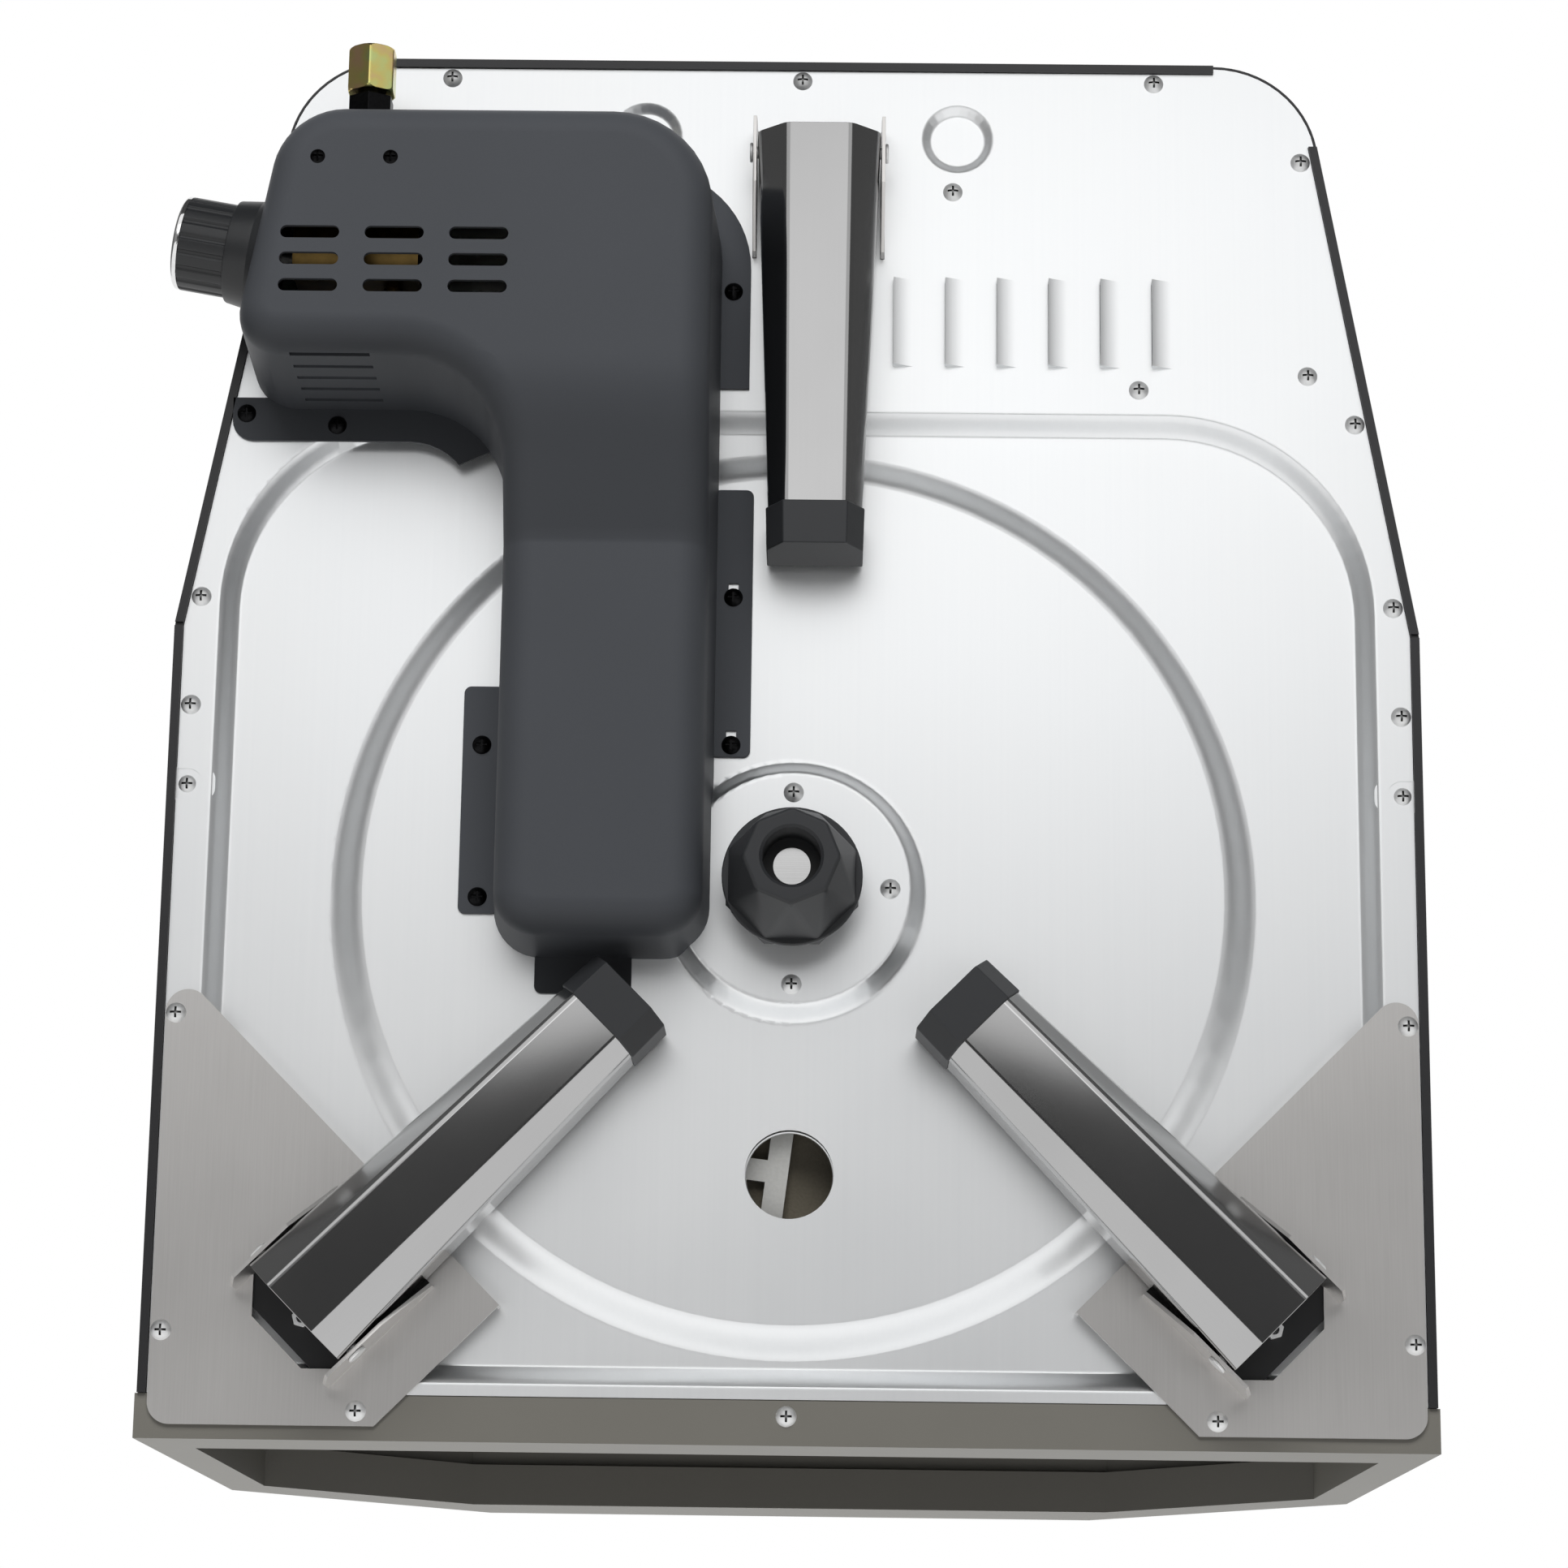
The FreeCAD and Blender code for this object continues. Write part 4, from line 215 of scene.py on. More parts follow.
def soft_pressings(pan):
    """Turn the straight pressed slopes into soft S curves, as a press tool leaves them."""
    def sloping(place, normal, flattest):
        y = (place - HUB).y / MM
        plain = y < LOUVRE_START or y > DIMPLE_START
        return plain and -flattest < normal.z < -STEEPEST

    pick(pan, "FACE", lambda place, normal: sloping(place, normal, FLATTEST))
    bpy.ops.mesh.subdivide(number_cuts=SLOPE_CUTS)
    pick(pan, "FACE", lambda place, normal: sloping(place, normal, FLATTEST_CUT))
    bpy.ops.object.mode_set(mode="OBJECT")
    moved = 0
    for vertex in pan.data.vertices:
        if vertex.select:
            _, y, z = (vertex.co - HUB) / MM
            span = DIMPLE_RISE if y > DIMPLE_START else RECESS_DEPTH if z > 0 else -DISH_HEIGHT
            share = min(max(z / span, 0.0), 1.0)
            vertex.co.z = HUB.z + span * share * share * (3 - 2 * share) * MM
            moved += 1
    print("pressed slopes", moved, "corners")


# %% [markdown]
# The list below gives each copy its name and the width of its bevel in millimetres. With no width the
# triangles stay as they are, which suits the large bent panels. With a width of nought they are only
# dissolved, because the pan's edges are hidden by its hems.

# %% Copies with broken edges
MERGE_REACH = 0.002
FLAT_WITHIN = 0.2


def softened(node, name, width):
    """Copy of a node with merged corners, whole faces and broken edges."""
    piece = bpy.data.objects.new(name, NODES[node].data.copy())
    bpy.context.scene.collection.objects.link(piece)
    piece.data.name = name
    piece.data.materials.clear()
    pick(piece, "VERT", lambda place: True)
    bpy.ops.mesh.customdata_custom_splitnormals_clear()
    bpy.ops.mesh.select_all(action="SELECT")
    bpy.ops.mesh.remove_doubles(threshold=MERGE_REACH * MM)
    if width is not None:
        bpy.ops.mesh.dissolve_limited(angle_limit=math.radians(FLAT_WITHIN))
    if node == "bottom_pan":
        soft_pressings(piece)
    if width:
        round_edges(piece, width)
    bpy.ops.object.mode_set(mode="OBJECT")
    smooth(piece)
    stand_for(piece, node)
    return piece


SOFT_SHEETS = (
    ("bottom_pan", "pressed_pan", 0.0),
    ("roof_panel", "roof_sheet", None),
    ("right_side_panel", "right_side_sheet", None),
    ("left_side_panel", "left_side_sheet", None),
    ("back_panel", "back_sheet", None),
    ("front_fascia", "mouth_frame", 0.6),
    ("right_gusset", "right_corner_plate", 0.55),
    ("left_gusset", "left_corner_plate", 0.55),
    ("rear_leg_bracket", "rear_hinge_bracket", 0.3),
    ("leg_pins", "hinge_rivets", 0.5),
    ("hinge_nuts", "hinge_hex_nuts", 0.3),
    ("inlet_adapter", "inlet_hex", 0.7),
    ("inlet_nut", "swivel_nut", 0.4),
    ("knob_bezel", "knob_collar", 1.2),
    ("gas_knob", "fluted_knob", 0.3),
    ("knob_ring", "knob_end_ring", 0.4),
)
DRESSED = {node: softened(node, name, width) for node, name, width in SOFT_SHEETS}

# %% [markdown]
# A hexagon nut is turned from bar, so its corners are cut off by a cone at both ends. The copy of the nut
# is kept only where it overlaps a rod with rounded ends. The collar behind the gas knob gets a flared foot
# that meets the sloping side of the cover.

# %% Nut corners and the foot of the knob's collar
NUT_START = (182.04, 332.9, -42.0)
NUT_LENGTH = 20.0
NUT_TURNED = 10.75
NUT_ROUND = 1.8
KNOB_SEAT = (226.81, 260.5, -42.0)
KNOB_AXIS = (0.98438, 0.17608, 0.0)
COLLAR_RADIUS = 23.0
FOOT_FLARE = 3.5
FOOT_LOW = -7.0
FOOT_HIGH = 0.4
FOOT_BORE = 14.0
TURNED_SIDES = 64


def turned_to(place, axis):
    """Matrix that carries an upright rod to a place and an axis."""
    return Matrix.Translation(spot(*place)) @ Vector(axis).to_track_quat("Z", "Y").to_matrix().to_4x4()


bar = tapered_rod(NUT_TURNED, NUT_TURNED, 0.0, NUT_LENGTH, TURNED_SIDES)
round_edges(bar, NUT_ROUND, 3)
seat(bar, "bar", turned_to(NUT_START, (0, 1, 0)))
nut = DRESSED["inlet_nut"]
use(nut, "BOOLEAN", "turned_corners", operation="INTERSECT", object=bar, solver="EXACT")
bpy.data.objects.remove(bar)
smooth(nut, 25)
print("nut", len(nut.data.polygons), "faces")

foot = tapered_rod(COLLAR_RADIUS + FOOT_FLARE, COLLAR_RADIUS, FOOT_LOW, FOOT_HIGH, TURNED_SIDES)
cut(foot, [tapered_rod(FOOT_BORE, FOOT_BORE, FOOT_LOW - 5.0, FOOT_HIGH + 4.6)])
seat(foot, "foot", turned_to(KNOB_SEAT, KNOB_AXIS))
smooth(join([DRESSED["knob_bezel"], foot]))
print("collar", len(DRESSED["knob_bezel"].data.polygons), "faces")

# %% [markdown]
# The drain hole has a rolled rim, which catches a thin ring of light. A small torus is joined to the pan.

# %% Rolled rim of the drain hole
DRAIN = (0.0, -117.4, 7.6)
RIM_RADIUS = 18.4
RIM_ROLL = 0.75
bpy.ops.object.select_all(action="DESELECT")
bpy.ops.mesh.primitive_torus_add(major_segments=72, minor_segments=10, major_radius=RIM_RADIUS * MM,
                                 minor_radius=RIM_ROLL * MM, location=spot(*DRAIN))
rolled_rim = bpy.context.object
only(rolled_rim)
bpy.ops.object.transform_apply(location=True, rotation=True, scale=True)
bpy.ops.object.shade_smooth()
join([DRESSED["bottom_pan"], rolled_rim])
print("pan with its rim", len(DRESSED["bottom_pan"].data.polygons), "faces")

# %% [markdown]
# The pan has a notch on each side, where a bare tab of the side panel shows round its screw. The tab is a
# thin block with two rounded corners.

# %% Bare tabs in the side notches
TAB_BESIDE = (241.5, 258.5)
TAB_BEHIND = (36.4, 50.2)
TAB_ABOVE = (0.5, 1.1)
TAB_ROUND = 5.0
for side in (1, -1):
    tab = cube(TAB_BESIDE, TAB_BEHIND, TAB_ABOVE)
    middle = sum(TAB_BESIDE) / 2 * MM
    pick(tab, "EDGE", lambda place, run: abs(run.z) > 0.3 * MM and place.x < middle)
    bpy.ops.mesh.bevel(offset=TAB_ROUND * MM, segments=6, affect="EDGES")
    bpy.ops.object.mode_set(mode="OBJECT")
    seat(tab, "right_notch_tab" if side > 0 else "left_notch_tab", AT_HUB)
    if side < 0:
        only(tab)
        bpy.ops.transform.mirror(orient_type="GLOBAL", constraint_axis=(True, False, False),
                                 center_override=HUB)
        bpy.ops.object.transform_apply(location=True, rotation=True, scale=True)
        pick(tab, "FACE", lambda place, normal: True)
        bpy.ops.mesh.normals_make_consistent(inside=False)
        bpy.ops.object.mode_set(mode="OBJECT")
    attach(tab, "oven_body")
    DRESSED[tab.name] = tab
    print(tab.name, len(tab.data.polygons), "faces")

# %% [markdown]
# ## Folding legs
# Each leg is a strip of polished stainless steel folded into a channel that narrows to its foot. It could
# be cut from a block, but a folded strip is how it is made: a flat strip is drawn, its long edges are
# extruded into the sloping and upright walls, the foot end is drawn in, the four bends get their radius
# and the sheet then gets its thickness.

# %% Legs
LEG_LENGTH = 178.0
LEG_FLAT = 14.0
LEG_HALF = 26.3
FOOT_FLAT = 12.7
FOOT_HALF = 19.3
LEG_BOTTOM = -39.0
LEG_SHOULDER = -28.0
LEG_TOP = -5.0
LEG_SHEET = 1.2
LEG_BEND = 2.4
LEG_EDGE = 0.25
PIVOT_ALONG = 6.5
PIVOT_LEVEL = -20.0


def leg_axes(joint_name):
    """Matrix from a leg's own axes, hinge end first, to the oven."""
    joint = JOINTS[joint_name]
    axis = Vector(joint["axis"])
    along = Vector((axis.y, -axis.x, 0))
    up = Vector((0, 0, 1))
    origin = Vector(joint["pos_m"]) - along * PIVOT_ALONG * MM - up * PIVOT_LEVEL * MM
    turn = Matrix((along, up.cross(along), up)).transposed().to_4x4()
    return Matrix.Translation(origin) @ turn


def folded_leg(side):
    """Channel folded from a strip, drawn in towards its foot."""
    bpy.ops.object.select_all(action="DESELECT")
    bpy.ops.mesh.primitive_plane_add(size=1)
    leg = bpy.context.object
    leg.scale = (LEG_LENGTH * MM, 2 * LEG_FLAT * MM, 1)
    leg.location = (LEG_LENGTH / 2 * MM, 0, LEG_BOTTOM * MM)
    seat(leg, side + "_channel")
    for sign in (1, -1):
        edge = LEG_FLAT
        steps = ((sign * (LEG_HALF - LEG_FLAT), LEG_SHOULDER - LEG_BOTTOM), (0, LEG_TOP - LEG_SHOULDER))
        level = LEG_BOTTOM
        for out, rise in steps:
            pick(leg, "EDGE", lambda place, run: abs(place.y - sign * edge * MM) < 1e-5
                 and abs(place.z - level * MM) < 1e-5 and abs(run.x) > 0.1)
            bpy.ops.mesh.extrude_region_move(TRANSFORM_OT_translate={"value": (0, out * MM, rise * MM)})
            edge = LEG_HALF
            level = level + rise
    draw_in = FOOT_HALF / LEG_HALF
    middle = (LEG_LENGTH * MM, 0, 0)
    pick(leg, "VERT", lambda place: place.x > LEG_LENGTH / 2 * MM)
    bpy.ops.transform.resize(value=(1, draw_in, 1), center_override=middle)
    pick(leg, "VERT", lambda place: place.x > LEG_LENGTH / 2 * MM and place.z < (LEG_BOTTOM + 1) * MM)
    bpy.ops.transform.resize(value=(1, FOOT_FLAT / LEG_FLAT / draw_in, 1), center_override=middle)
    pick(leg, "EDGE", lambda place, run: abs(run.x) > 0.1 and place.z < (LEG_TOP - 1) * MM)
    bpy.ops.mesh.bevel(offset=LEG_BEND * MM, segments=4, affect="EDGES")
    bpy.ops.object.mode_set(mode="OBJECT")
    use(leg, "SOLIDIFY", "sheet", thickness=LEG_SHEET * MM, offset=1.0)
    round_edges(leg, LEG_EDGE, 2, 60)
    smooth(leg)
    seat(leg, side + "_channel", leg_axes(side + "_leg_fold"))
    stand_for(leg, side + "_leg")
    return leg


for side in ("right", "left", "rear"):
    DRESSED[side + "_leg"] = folded_leg(side)

# %% [markdown]
# ## Foot caps
# The black caps are moulded plastic pushed over the ends of the legs. A block is cut at the height where
# the leg's slope starts, its lower half is drawn in to follow the slope, its open end is inset and pushed
# in to make the socket, and every edge is rounded as a mould leaves it.

# %% Caps
CAP_START = 167.0
CAP_END = 185.5
CAP_HALF = 20.6
CAP_FLAT = 13.4
CAP_TOP = -3.8
CAP_BOTTOM = -40.2
CAP_WALL = 1.25
CAP_DRAFT = 0.975
CAP_EDGE = 0.6


def foot_cap(side):
    """Moulded cap with a socket for the end of a leg."""
    cap = cube((CAP_START, CAP_END), (-CAP_HALF, CAP_HALF), (CAP_BOTTOM, CAP_TOP))
    pick(cap, "FACE", lambda place, normal: True)
    bpy.ops.mesh.bisect(plane_co=(0, 0, LEG_SHOULDER * MM), plane_no=(0, 0, 1))
    pick(cap, "VERT", lambda place: place.z < (CAP_BOTTOM + 1) * MM)
    bpy.ops.transform.resize(value=(1, CAP_FLAT / CAP_HALF, 1), center_override=(0, 0, 0))
    pick(cap, "VERT", lambda place: place.x > (CAP_END - 1) * MM)
    bpy.ops.transform.resize(value=(1, CAP_DRAFT, 1), center_override=(0, 0, 0))
    pick(cap, "FACE", lambda place, normal: normal.x < -0.9)
    bpy.ops.mesh.inset(thickness=CAP_WALL * MM)
    socket = (LEG_LENGTH - CAP_START) * MM
    bpy.ops.mesh.extrude_region_move(TRANSFORM_OT_translate={"value": (socket, 0, 0)})
    bpy.ops.object.mode_set(mode="OBJECT")
    round_edges(cap, CAP_EDGE, 3, 25)
    smooth(cap, 50)
    seat(cap, side + "_moulded_cap", leg_axes(side + "_leg_fold"))
    stand_for(cap, side + "_foot_cap")
    return cap


for side in ("right", "left", "rear"):
    DRESSED[side + "_foot_cap"] = foot_cap(side)

# %% [markdown]
# ## Hub knob
# The hand knob that turns the stone is a rubbery moulding: an octagon at its base, a smaller octagon at
# its tip turned by half a step, and triangles between them. An eight-sided cone gives both rings, turning
# its tip twists the sides, and splitting them along the shorter diagonals makes the facets.

# %% Knob
KNOB_BASE = -33.0
KNOB_TIP = -73.0
KNOB_BASE_CIRCLE = 28.1
KNOB_TIP_CIRCLE = 19.6
SOCKET_RADIUS = 11.7
SOCKET_FLOOR = -51.5
BORE_RADIUS = 7.6
KNOB_FLANGE = 28.7
KNOB_FLANGE_TOP = -30.0
KNOB_FLANGE_EDGE = 0.8
KNOB_SIDES = 8
FACET_ROUND = 1.3
SOCKET_CHAMFER = 1.2


def hand_knob():
    """Faceted knob with a deep socket and a round flange at its base."""
    bpy.ops.object.select_all(action="DESELECT")
    height = KNOB_BASE - KNOB_TIP
    middle = (KNOB_BASE + KNOB_TIP) / 2
    bpy.ops.mesh.primitive_cone_add(vertices=KNOB_SIDES, radius1=KNOB_TIP_CIRCLE * MM,
                                    radius2=KNOB_BASE_CIRCLE * MM, depth=height * MM,
                                    location=(0, 0, middle * MM))
    knob = bpy.context.object
    seat(knob, "hand_knob")
    pick(knob, "VERT", lambda place: place.z > (KNOB_BASE - 1) * MM)
    half_step = math.pi / KNOB_SIDES
    bpy.ops.transform.rotate(value=half_step, orient_axis="Z", center_override=(0, 0, 0))
    pick(knob, "FACE", lambda place, normal: abs(normal.z) < 0.9)
    bpy.ops.mesh.quads_convert_to_tris(quad_method="SHORTEST_DIAGONAL")
    pick(knob, "EDGE", lambda place, run: place.z < (KNOB_BASE - 1) * MM)
    bpy.ops.mesh.bevel(offset=FACET_ROUND * MM, segments=3, affect="EDGES")
    bpy.ops.object.mode_set(mode="OBJECT")
    flange = tapered_rod(KNOB_FLANGE, KNOB_FLANGE, KNOB_BASE, KNOB_FLANGE_TOP, TURNED_SIDES)
    round_edges(flange, KNOB_FLANGE_EDGE, 3)
    cut(flange, [tapered_rod(BORE_RADIUS, BORE_RADIUS, KNOB_BASE - 5, KNOB_FLANGE_TOP + 5)])
    mouth, rim = KNOB_TIP - SOCKET_CHAMFER, KNOB_TIP + SOCKET_CHAMFER
    cut(knob, [tapered_rod(SOCKET_RADIUS, SOCKET_RADIUS, mouth, SOCKET_FLOOR)])
    cut(knob, [tapered_rod(SOCKET_RADIUS + 2 * SOCKET_CHAMFER, SOCKET_RADIUS, mouth, rim)])
    cut(knob, [tapered_rod(BORE_RADIUS, BORE_RADIUS, SOCKET_FLOOR - 5, KNOB_BASE + 5)])
    knob = join([knob, flange])
    smooth(knob, 40)
    seat(knob, "hand_knob", AT_HUB)
    stand_for(knob, "hub_knob")
    return knob


DRESSED["hub_knob"] = hand_knob()

# %% [markdown]
# ## Cover over the gas valve
# The cover is one soft pressing: a tall end over the valve, a ramp and a slim arm towards the hub. It could
# be joined from blocks, but the seams would show. Its plan is drawn as one flat face instead: a strip for
# the arm, extruded at its end and then to the side, with each corner rounded by a bevel.

# %% Plan of the cover
ARM_NEAR = 33.5
ARM_FAR = 123.5
ARM_FRONT = -29.0
COVER_STEP = 207.0
COVER_BACK = 319.0
SIDE_AT_STEP = 236.38
SIDE_AT_BACK = 216.35
SLANT = math.radians(10.141)
ARM_END_ROUND = 20.0
INNER_ROUND = 42.0
SIDE_ROUND = 24.0
BACK_ROUND = 27.0
NEAR_BACK_ROUND = 44.0
AWAY = 9.0


def cover_plan(grow=0.0, side_round=SIDE_ROUND):
    """Flat face with the cover's outline, its corners rounded, grown outwards by some millimetres."""
    near, far, front = ARM_NEAR - grow, ARM_FAR + grow, ARM_FRONT - grow
    step, back = COVER_STEP - grow, COVER_BACK + grow
    side_step, side_back = (x + grow / math.cos(SLANT) for x in (SIDE_AT_STEP, SIDE_AT_BACK))
    bpy.ops.object.select_all(action="DESELECT")
    bpy.ops.mesh.primitive_plane_add(size=1)
    plan = bpy.context.object
    plan.scale = ((far - near) * MM, (step - front) * MM, 1)
    plan.location = ((far + near) / 2 * MM, (step + front) / 2 * MM, 0)
    seat(plan, "valve_cover_pressing")
    pick(plan, "EDGE", lambda place, run: place.y > (step - 1) * MM)
    bpy.ops.mesh.extrude_region_move(TRANSFORM_OT_translate={"value": (0, (back - step) * MM, 0)})
    pick(plan, "EDGE", lambda place, run: place.x > (far - 1) * MM and place.y > (step + AWAY) * MM)
    bpy.ops.mesh.extrude_region_move(TRANSFORM_OT_translate={"value": ((side_step - far) * MM, 0, 0)})
    pick(plan, "VERT", lambda place: place.x > (far + AWAY) * MM and place.y > (back - 1) * MM)
    bpy.ops.transform.translate(value=((side_back - side_step) * MM, 0, 0))
    pick(plan, "FACE", lambda place, normal: True)
    bpy.ops.mesh.normals_make_consistent(inside=False)
    bpy.ops.mesh.dissolve_faces()
    pick(plan, "VERT", lambda place: place.x < (near + 1) * MM and abs(place.y - step * MM) < MM)
    bpy.ops.mesh.dissolve_verts()
    rounds = (
        (near, front, ARM_END_ROUND + grow), (far, front, ARM_END_ROUND + grow),
        (far, step, INNER_ROUND - grow), (side_step, step, side_round),
        (side_back, back, BACK_ROUND + grow), (near, back, NEAR_BACK_ROUND + grow),
    )
    for x, y, radius in rounds:
        pick(plan, "VERT", lambda place: (place - Vector((x, y, 0)) * MM).length < MM)
        bpy.ops.mesh.bevel(offset=radius * MM, segments=10, affect="VERTICES")
    bpy.ops.object.mode_set(mode="OBJECT")
    return plan


# %% [markdown]
# The face is inset and raised in steps, which gives drafted walls and a round edge in one go, as a press
# tool would. Cuts across it then let a smooth ramp lift the valve end above the arm.

# %% Pressing
ARM_DEPTH = 50.0
COVER_DEPTH = 78.0
COVER_ROUND = 14.0
COVER_DRAFT = 2.5
ROUND_STEPS = 8
RAMP_START = 137.0
RAMP_END = 206.0
RAMP_EVEN = 0.6
RAMP_CUTS = 16


def ramp_lift(y):
    """How far the valve end stands above the arm, at a distance behind the hub."""
    share = min(max((y - RAMP_START) / (RAMP_END - RAMP_START), 0.0), 1.0)
    slope = 2 / (1 + RAMP_EVEN)
    eased = max(share - RAMP_EVEN, 0.0) ** 2 * slope / (2 * (1 - RAMP_EVEN))
    return (COVER_DEPTH - ARM_DEPTH) * (slope * share - eased)


def pressed_cover():
    """The plan raised to a pressing with drafted walls, a round edge and a ramp."""
    cover = cover_plan()
    only(cover)
    bpy.ops.object.mode_set(mode="EDIT")
    bpy.ops.mesh.select_mode(type="FACE")
    bpy.ops.mesh.select_all(action="SELECT")
    if cover.data.polygons[0].normal.z > 0:
        bpy.ops.mesh.flip_normals()
    bpy.ops.mesh.inset(thickness=COVER_DRAFT * MM, depth=(ARM_DEPTH - COVER_ROUND) * MM)
    for i in range(ROUND_STEPS):
        a, b = (math.pi / 2 * k / ROUND_STEPS for k in (i, i + 1))
        inwards = COVER_ROUND * (math.cos(a) - math.cos(b))
        rise = COVER_ROUND * (math.sin(b) - math.sin(a))
        bpy.ops.mesh.inset(thickness=inwards * MM, depth=rise * MM)
    stations = [RAMP_START + (RAMP_END - RAMP_START) * i / RAMP_CUTS for i in range(RAMP_CUTS + 1)]
    for y in [RAMP_START - 2.5] + stations + [RAMP_END + 3]:
        bpy.ops.mesh.select_all(action="SELECT")
        bpy.ops.mesh.bisect(plane_co=(0, y * MM, 0), plane_no=(0, 1, 0))
    bpy.ops.object.mode_set(mode="OBJECT")
    for vertex in cover.data.vertices:
        if vertex.co.z < -MM:
            vertex.co.z -= ramp_lift(vertex.co.y / MM) * MM
    print("pressing", len(cover.data.polygons), "faces")
    return cover


# %% [markdown]
# Nine round-ended vents are punched through the top of the valve end, and five thin slits through the wall
# that faces the arm. Bars of those sizes are the punches.

# %% Vents
VENT_FIRST = (131.34, 235.1)
VENT_PITCH = (34.7, 11.5)
VENT_LENGTH = 24.3
VENT_WIDTH = 5.4
SLIT_MIDDLE = 192.3
SLIT_HALF = 16.5
SLIT_FIRST = -13.0
SLIT_PITCH = -13.0
SLIT_WIDTH = 3.0


def slot_cutter(x, y, length, width, low, high):
    """Round-ended bar to cut a slot along X."""
    bar = cube((x - length / 2, x + length / 2), (y - width / 2, y + width / 2), (low, high))
    pick(bar, "EDGE", lambda place, run: abs(run.z) > 0.5 * abs(high - low) * MM)
    bpy.ops.mesh.bevel(offset=width * 0.49 * MM, segments=6, affect="EDGES")
    bpy.ops.object.mode_set(mode="OBJECT")
    return bar


def cover_cutters():
    cutters = []
    for i in range(3):
        for k in range(3):
            x = VENT_FIRST[0] + i * VENT_PITCH[0]
            y = VENT_FIRST[1] + k * VENT_PITCH[1]
            punch = slot_cutter(x, y, VENT_LENGTH, VENT_WIDTH, -COVER_DEPTH - 4, -COVER_DEPTH + 6)
            cutters.append(punch)
    beside = (SLIT_MIDDLE - SLIT_HALF, SLIT_MIDDLE + SLIT_HALF)
    for i in range(5):
        z = SLIT_FIRST + i * SLIT_PITCH
        level = (z - SLIT_WIDTH / 2, z + SLIT_WIDTH / 2)
        cutters.append(cube(beside, (COVER_STEP - 6, COVER_STEP + 16), level))
    print("vents and slits", len(cutters))
    return cutters


# %% [markdown]
# The cover is screwed down through flat tabs at its rim and a curved flange in front of the valve end. A
# tab is a thin block with rounded corners. The flange is the plan drawn again a little larger, with all but
# its front part cut away, so it follows the curve of the wall.

# %% Tabs and flange
TAB_SHEET = 1.5
TAB_CORNER = 3.0
TAB_EDGE = 0.3
NEAR_TAB = ((18.5, 35.5), (56.6, 173.0))
FAR_TAB = ((121.5, 138.5), (-11.0, 86.0))
FRONT_TAB = ((66.0, 106.0), (-44.0, -26.0))
REAR_TAB = ((21.2, 70.0), (218.0, 318.0))
REAR_TAB_ROUND = 46.0
NEAR_SCREWS = (61.8, 125.7)
SCREW_SLOT = (24.4, 28.6)
SCREW_SLOT_RUN = 6.2
FLANGE_WIDTH = 14.0
FLANGE_TIP = (143.4, 183.2, 0.0)
FLANGE_TIP_FACING = (-0.408, -0.914, 0)
FLANGE_OUTER = 241.0
FLANGE_ROUND = 9.0


def plate(x, y):
    """Flat tab with rounded corners."""
    tab = cube(x, y, (-TAB_SHEET, 0.0))
    pick(tab, "EDGE", lambda place, run: abs(run.z) > 0.5 * MM)
    bpy.ops.mesh.bevel(offset=TAB_CORNER * MM, segments=5, affect="EDGES")
    bpy.ops.object.mode_set(mode="OBJECT")
    round_edges(tab, TAB_EDGE, 2, 60)
    return tab


def side_flange():
    """Foot flange along the front of the valve end: the plan grown outwards, all but that part cut off."""
    flange = cover_plan(FLANGE_WIDTH, 2.0)
    tip = Vector(FLANGE_TIP) * MM
    outer = Vector((FLANGE_OUTER, 0, 0)) * MM
    back = Vector((0, COVER_STEP + 5, 0)) * MM
    inner = Vector((ARM_FAR - 3, 0, 0)) * MM
    sides = ((tip, FLANGE_TIP_FACING), (back, (0, 1, 0)), (outer, (1, 0, 0)), (inner, (-1, 0, 0)))
    for limit, away in sides:
        pick(flange, "FACE", lambda place, normal: True)
        bpy.ops.mesh.bisect(plane_co=limit, plane_no=away, clear_outer=True)
    pick(flange, "VERT", lambda place: place.x > outer.x - MM and place.y < back.y - AWAY * MM)
    bpy.ops.mesh.bevel(offset=FLANGE_ROUND * MM, segments=6, affect="VERTICES")
    pick(flange, "FACE", lambda place, normal: True)
    bpy.ops.mesh.extrude_region_move(TRANSFORM_OT_translate={"value": (0, 0, -TAB_SHEET * MM)})
    bpy.ops.mesh.select_all(action="SELECT")
    bpy.ops.mesh.normals_make_consistent(inside=False)
    bpy.ops.object.mode_set(mode="OBJECT")
    print("side flange", len(flange.data.polygons), "faces")
    return flange


def rear_tab():
    """Tab whose outer back corner follows the round corner of the cover."""
    tab = cube(*REAR_TAB, (-TAB_SHEET, 0.0))
    pick(tab, "EDGE", lambda place, run: abs(run.z) > MM and place.x < 0.03 and place.y > 0.3)
    bpy.ops.mesh.bevel(offset=REAR_TAB_ROUND * MM, segments=14, affect="EDGES")
    bpy.ops.object.mode_set(mode="OBJECT")
    return tab


# %% [markdown]
# The sheet gets its thickness before the vents are cut, so that their walls show it. The tabs are joined
# last, because the slots for the screws are cut only in one of them.

# %% Cover put together
COVER_SHEET = 2.0


def valve_cover():
    cover = pressed_cover()
    use(cover, "SOLIDIFY", "sheet", thickness=COVER_SHEET * MM, offset=-1.0)
    cut(cover, cover_cutters())
    near_tab = plate(*NEAR_TAB)
    cut(near_tab, [cube(SCREW_SLOT, (y, y + SCREW_SLOT_RUN), (-3, 2)) for y in NEAR_SCREWS])
    tabs = [near_tab, plate(*FAR_TAB), plate(*FRONT_TAB), rear_tab(), side_flange()]
    cover = join([cover] + tabs)
    smooth(cover, 40)
    seat(cover, "valve_cover_pressing", AT_HUB)
    stand_for(cover, "valve_cover")
    return cover


DRESSED["valve_cover"] = valve_cover()

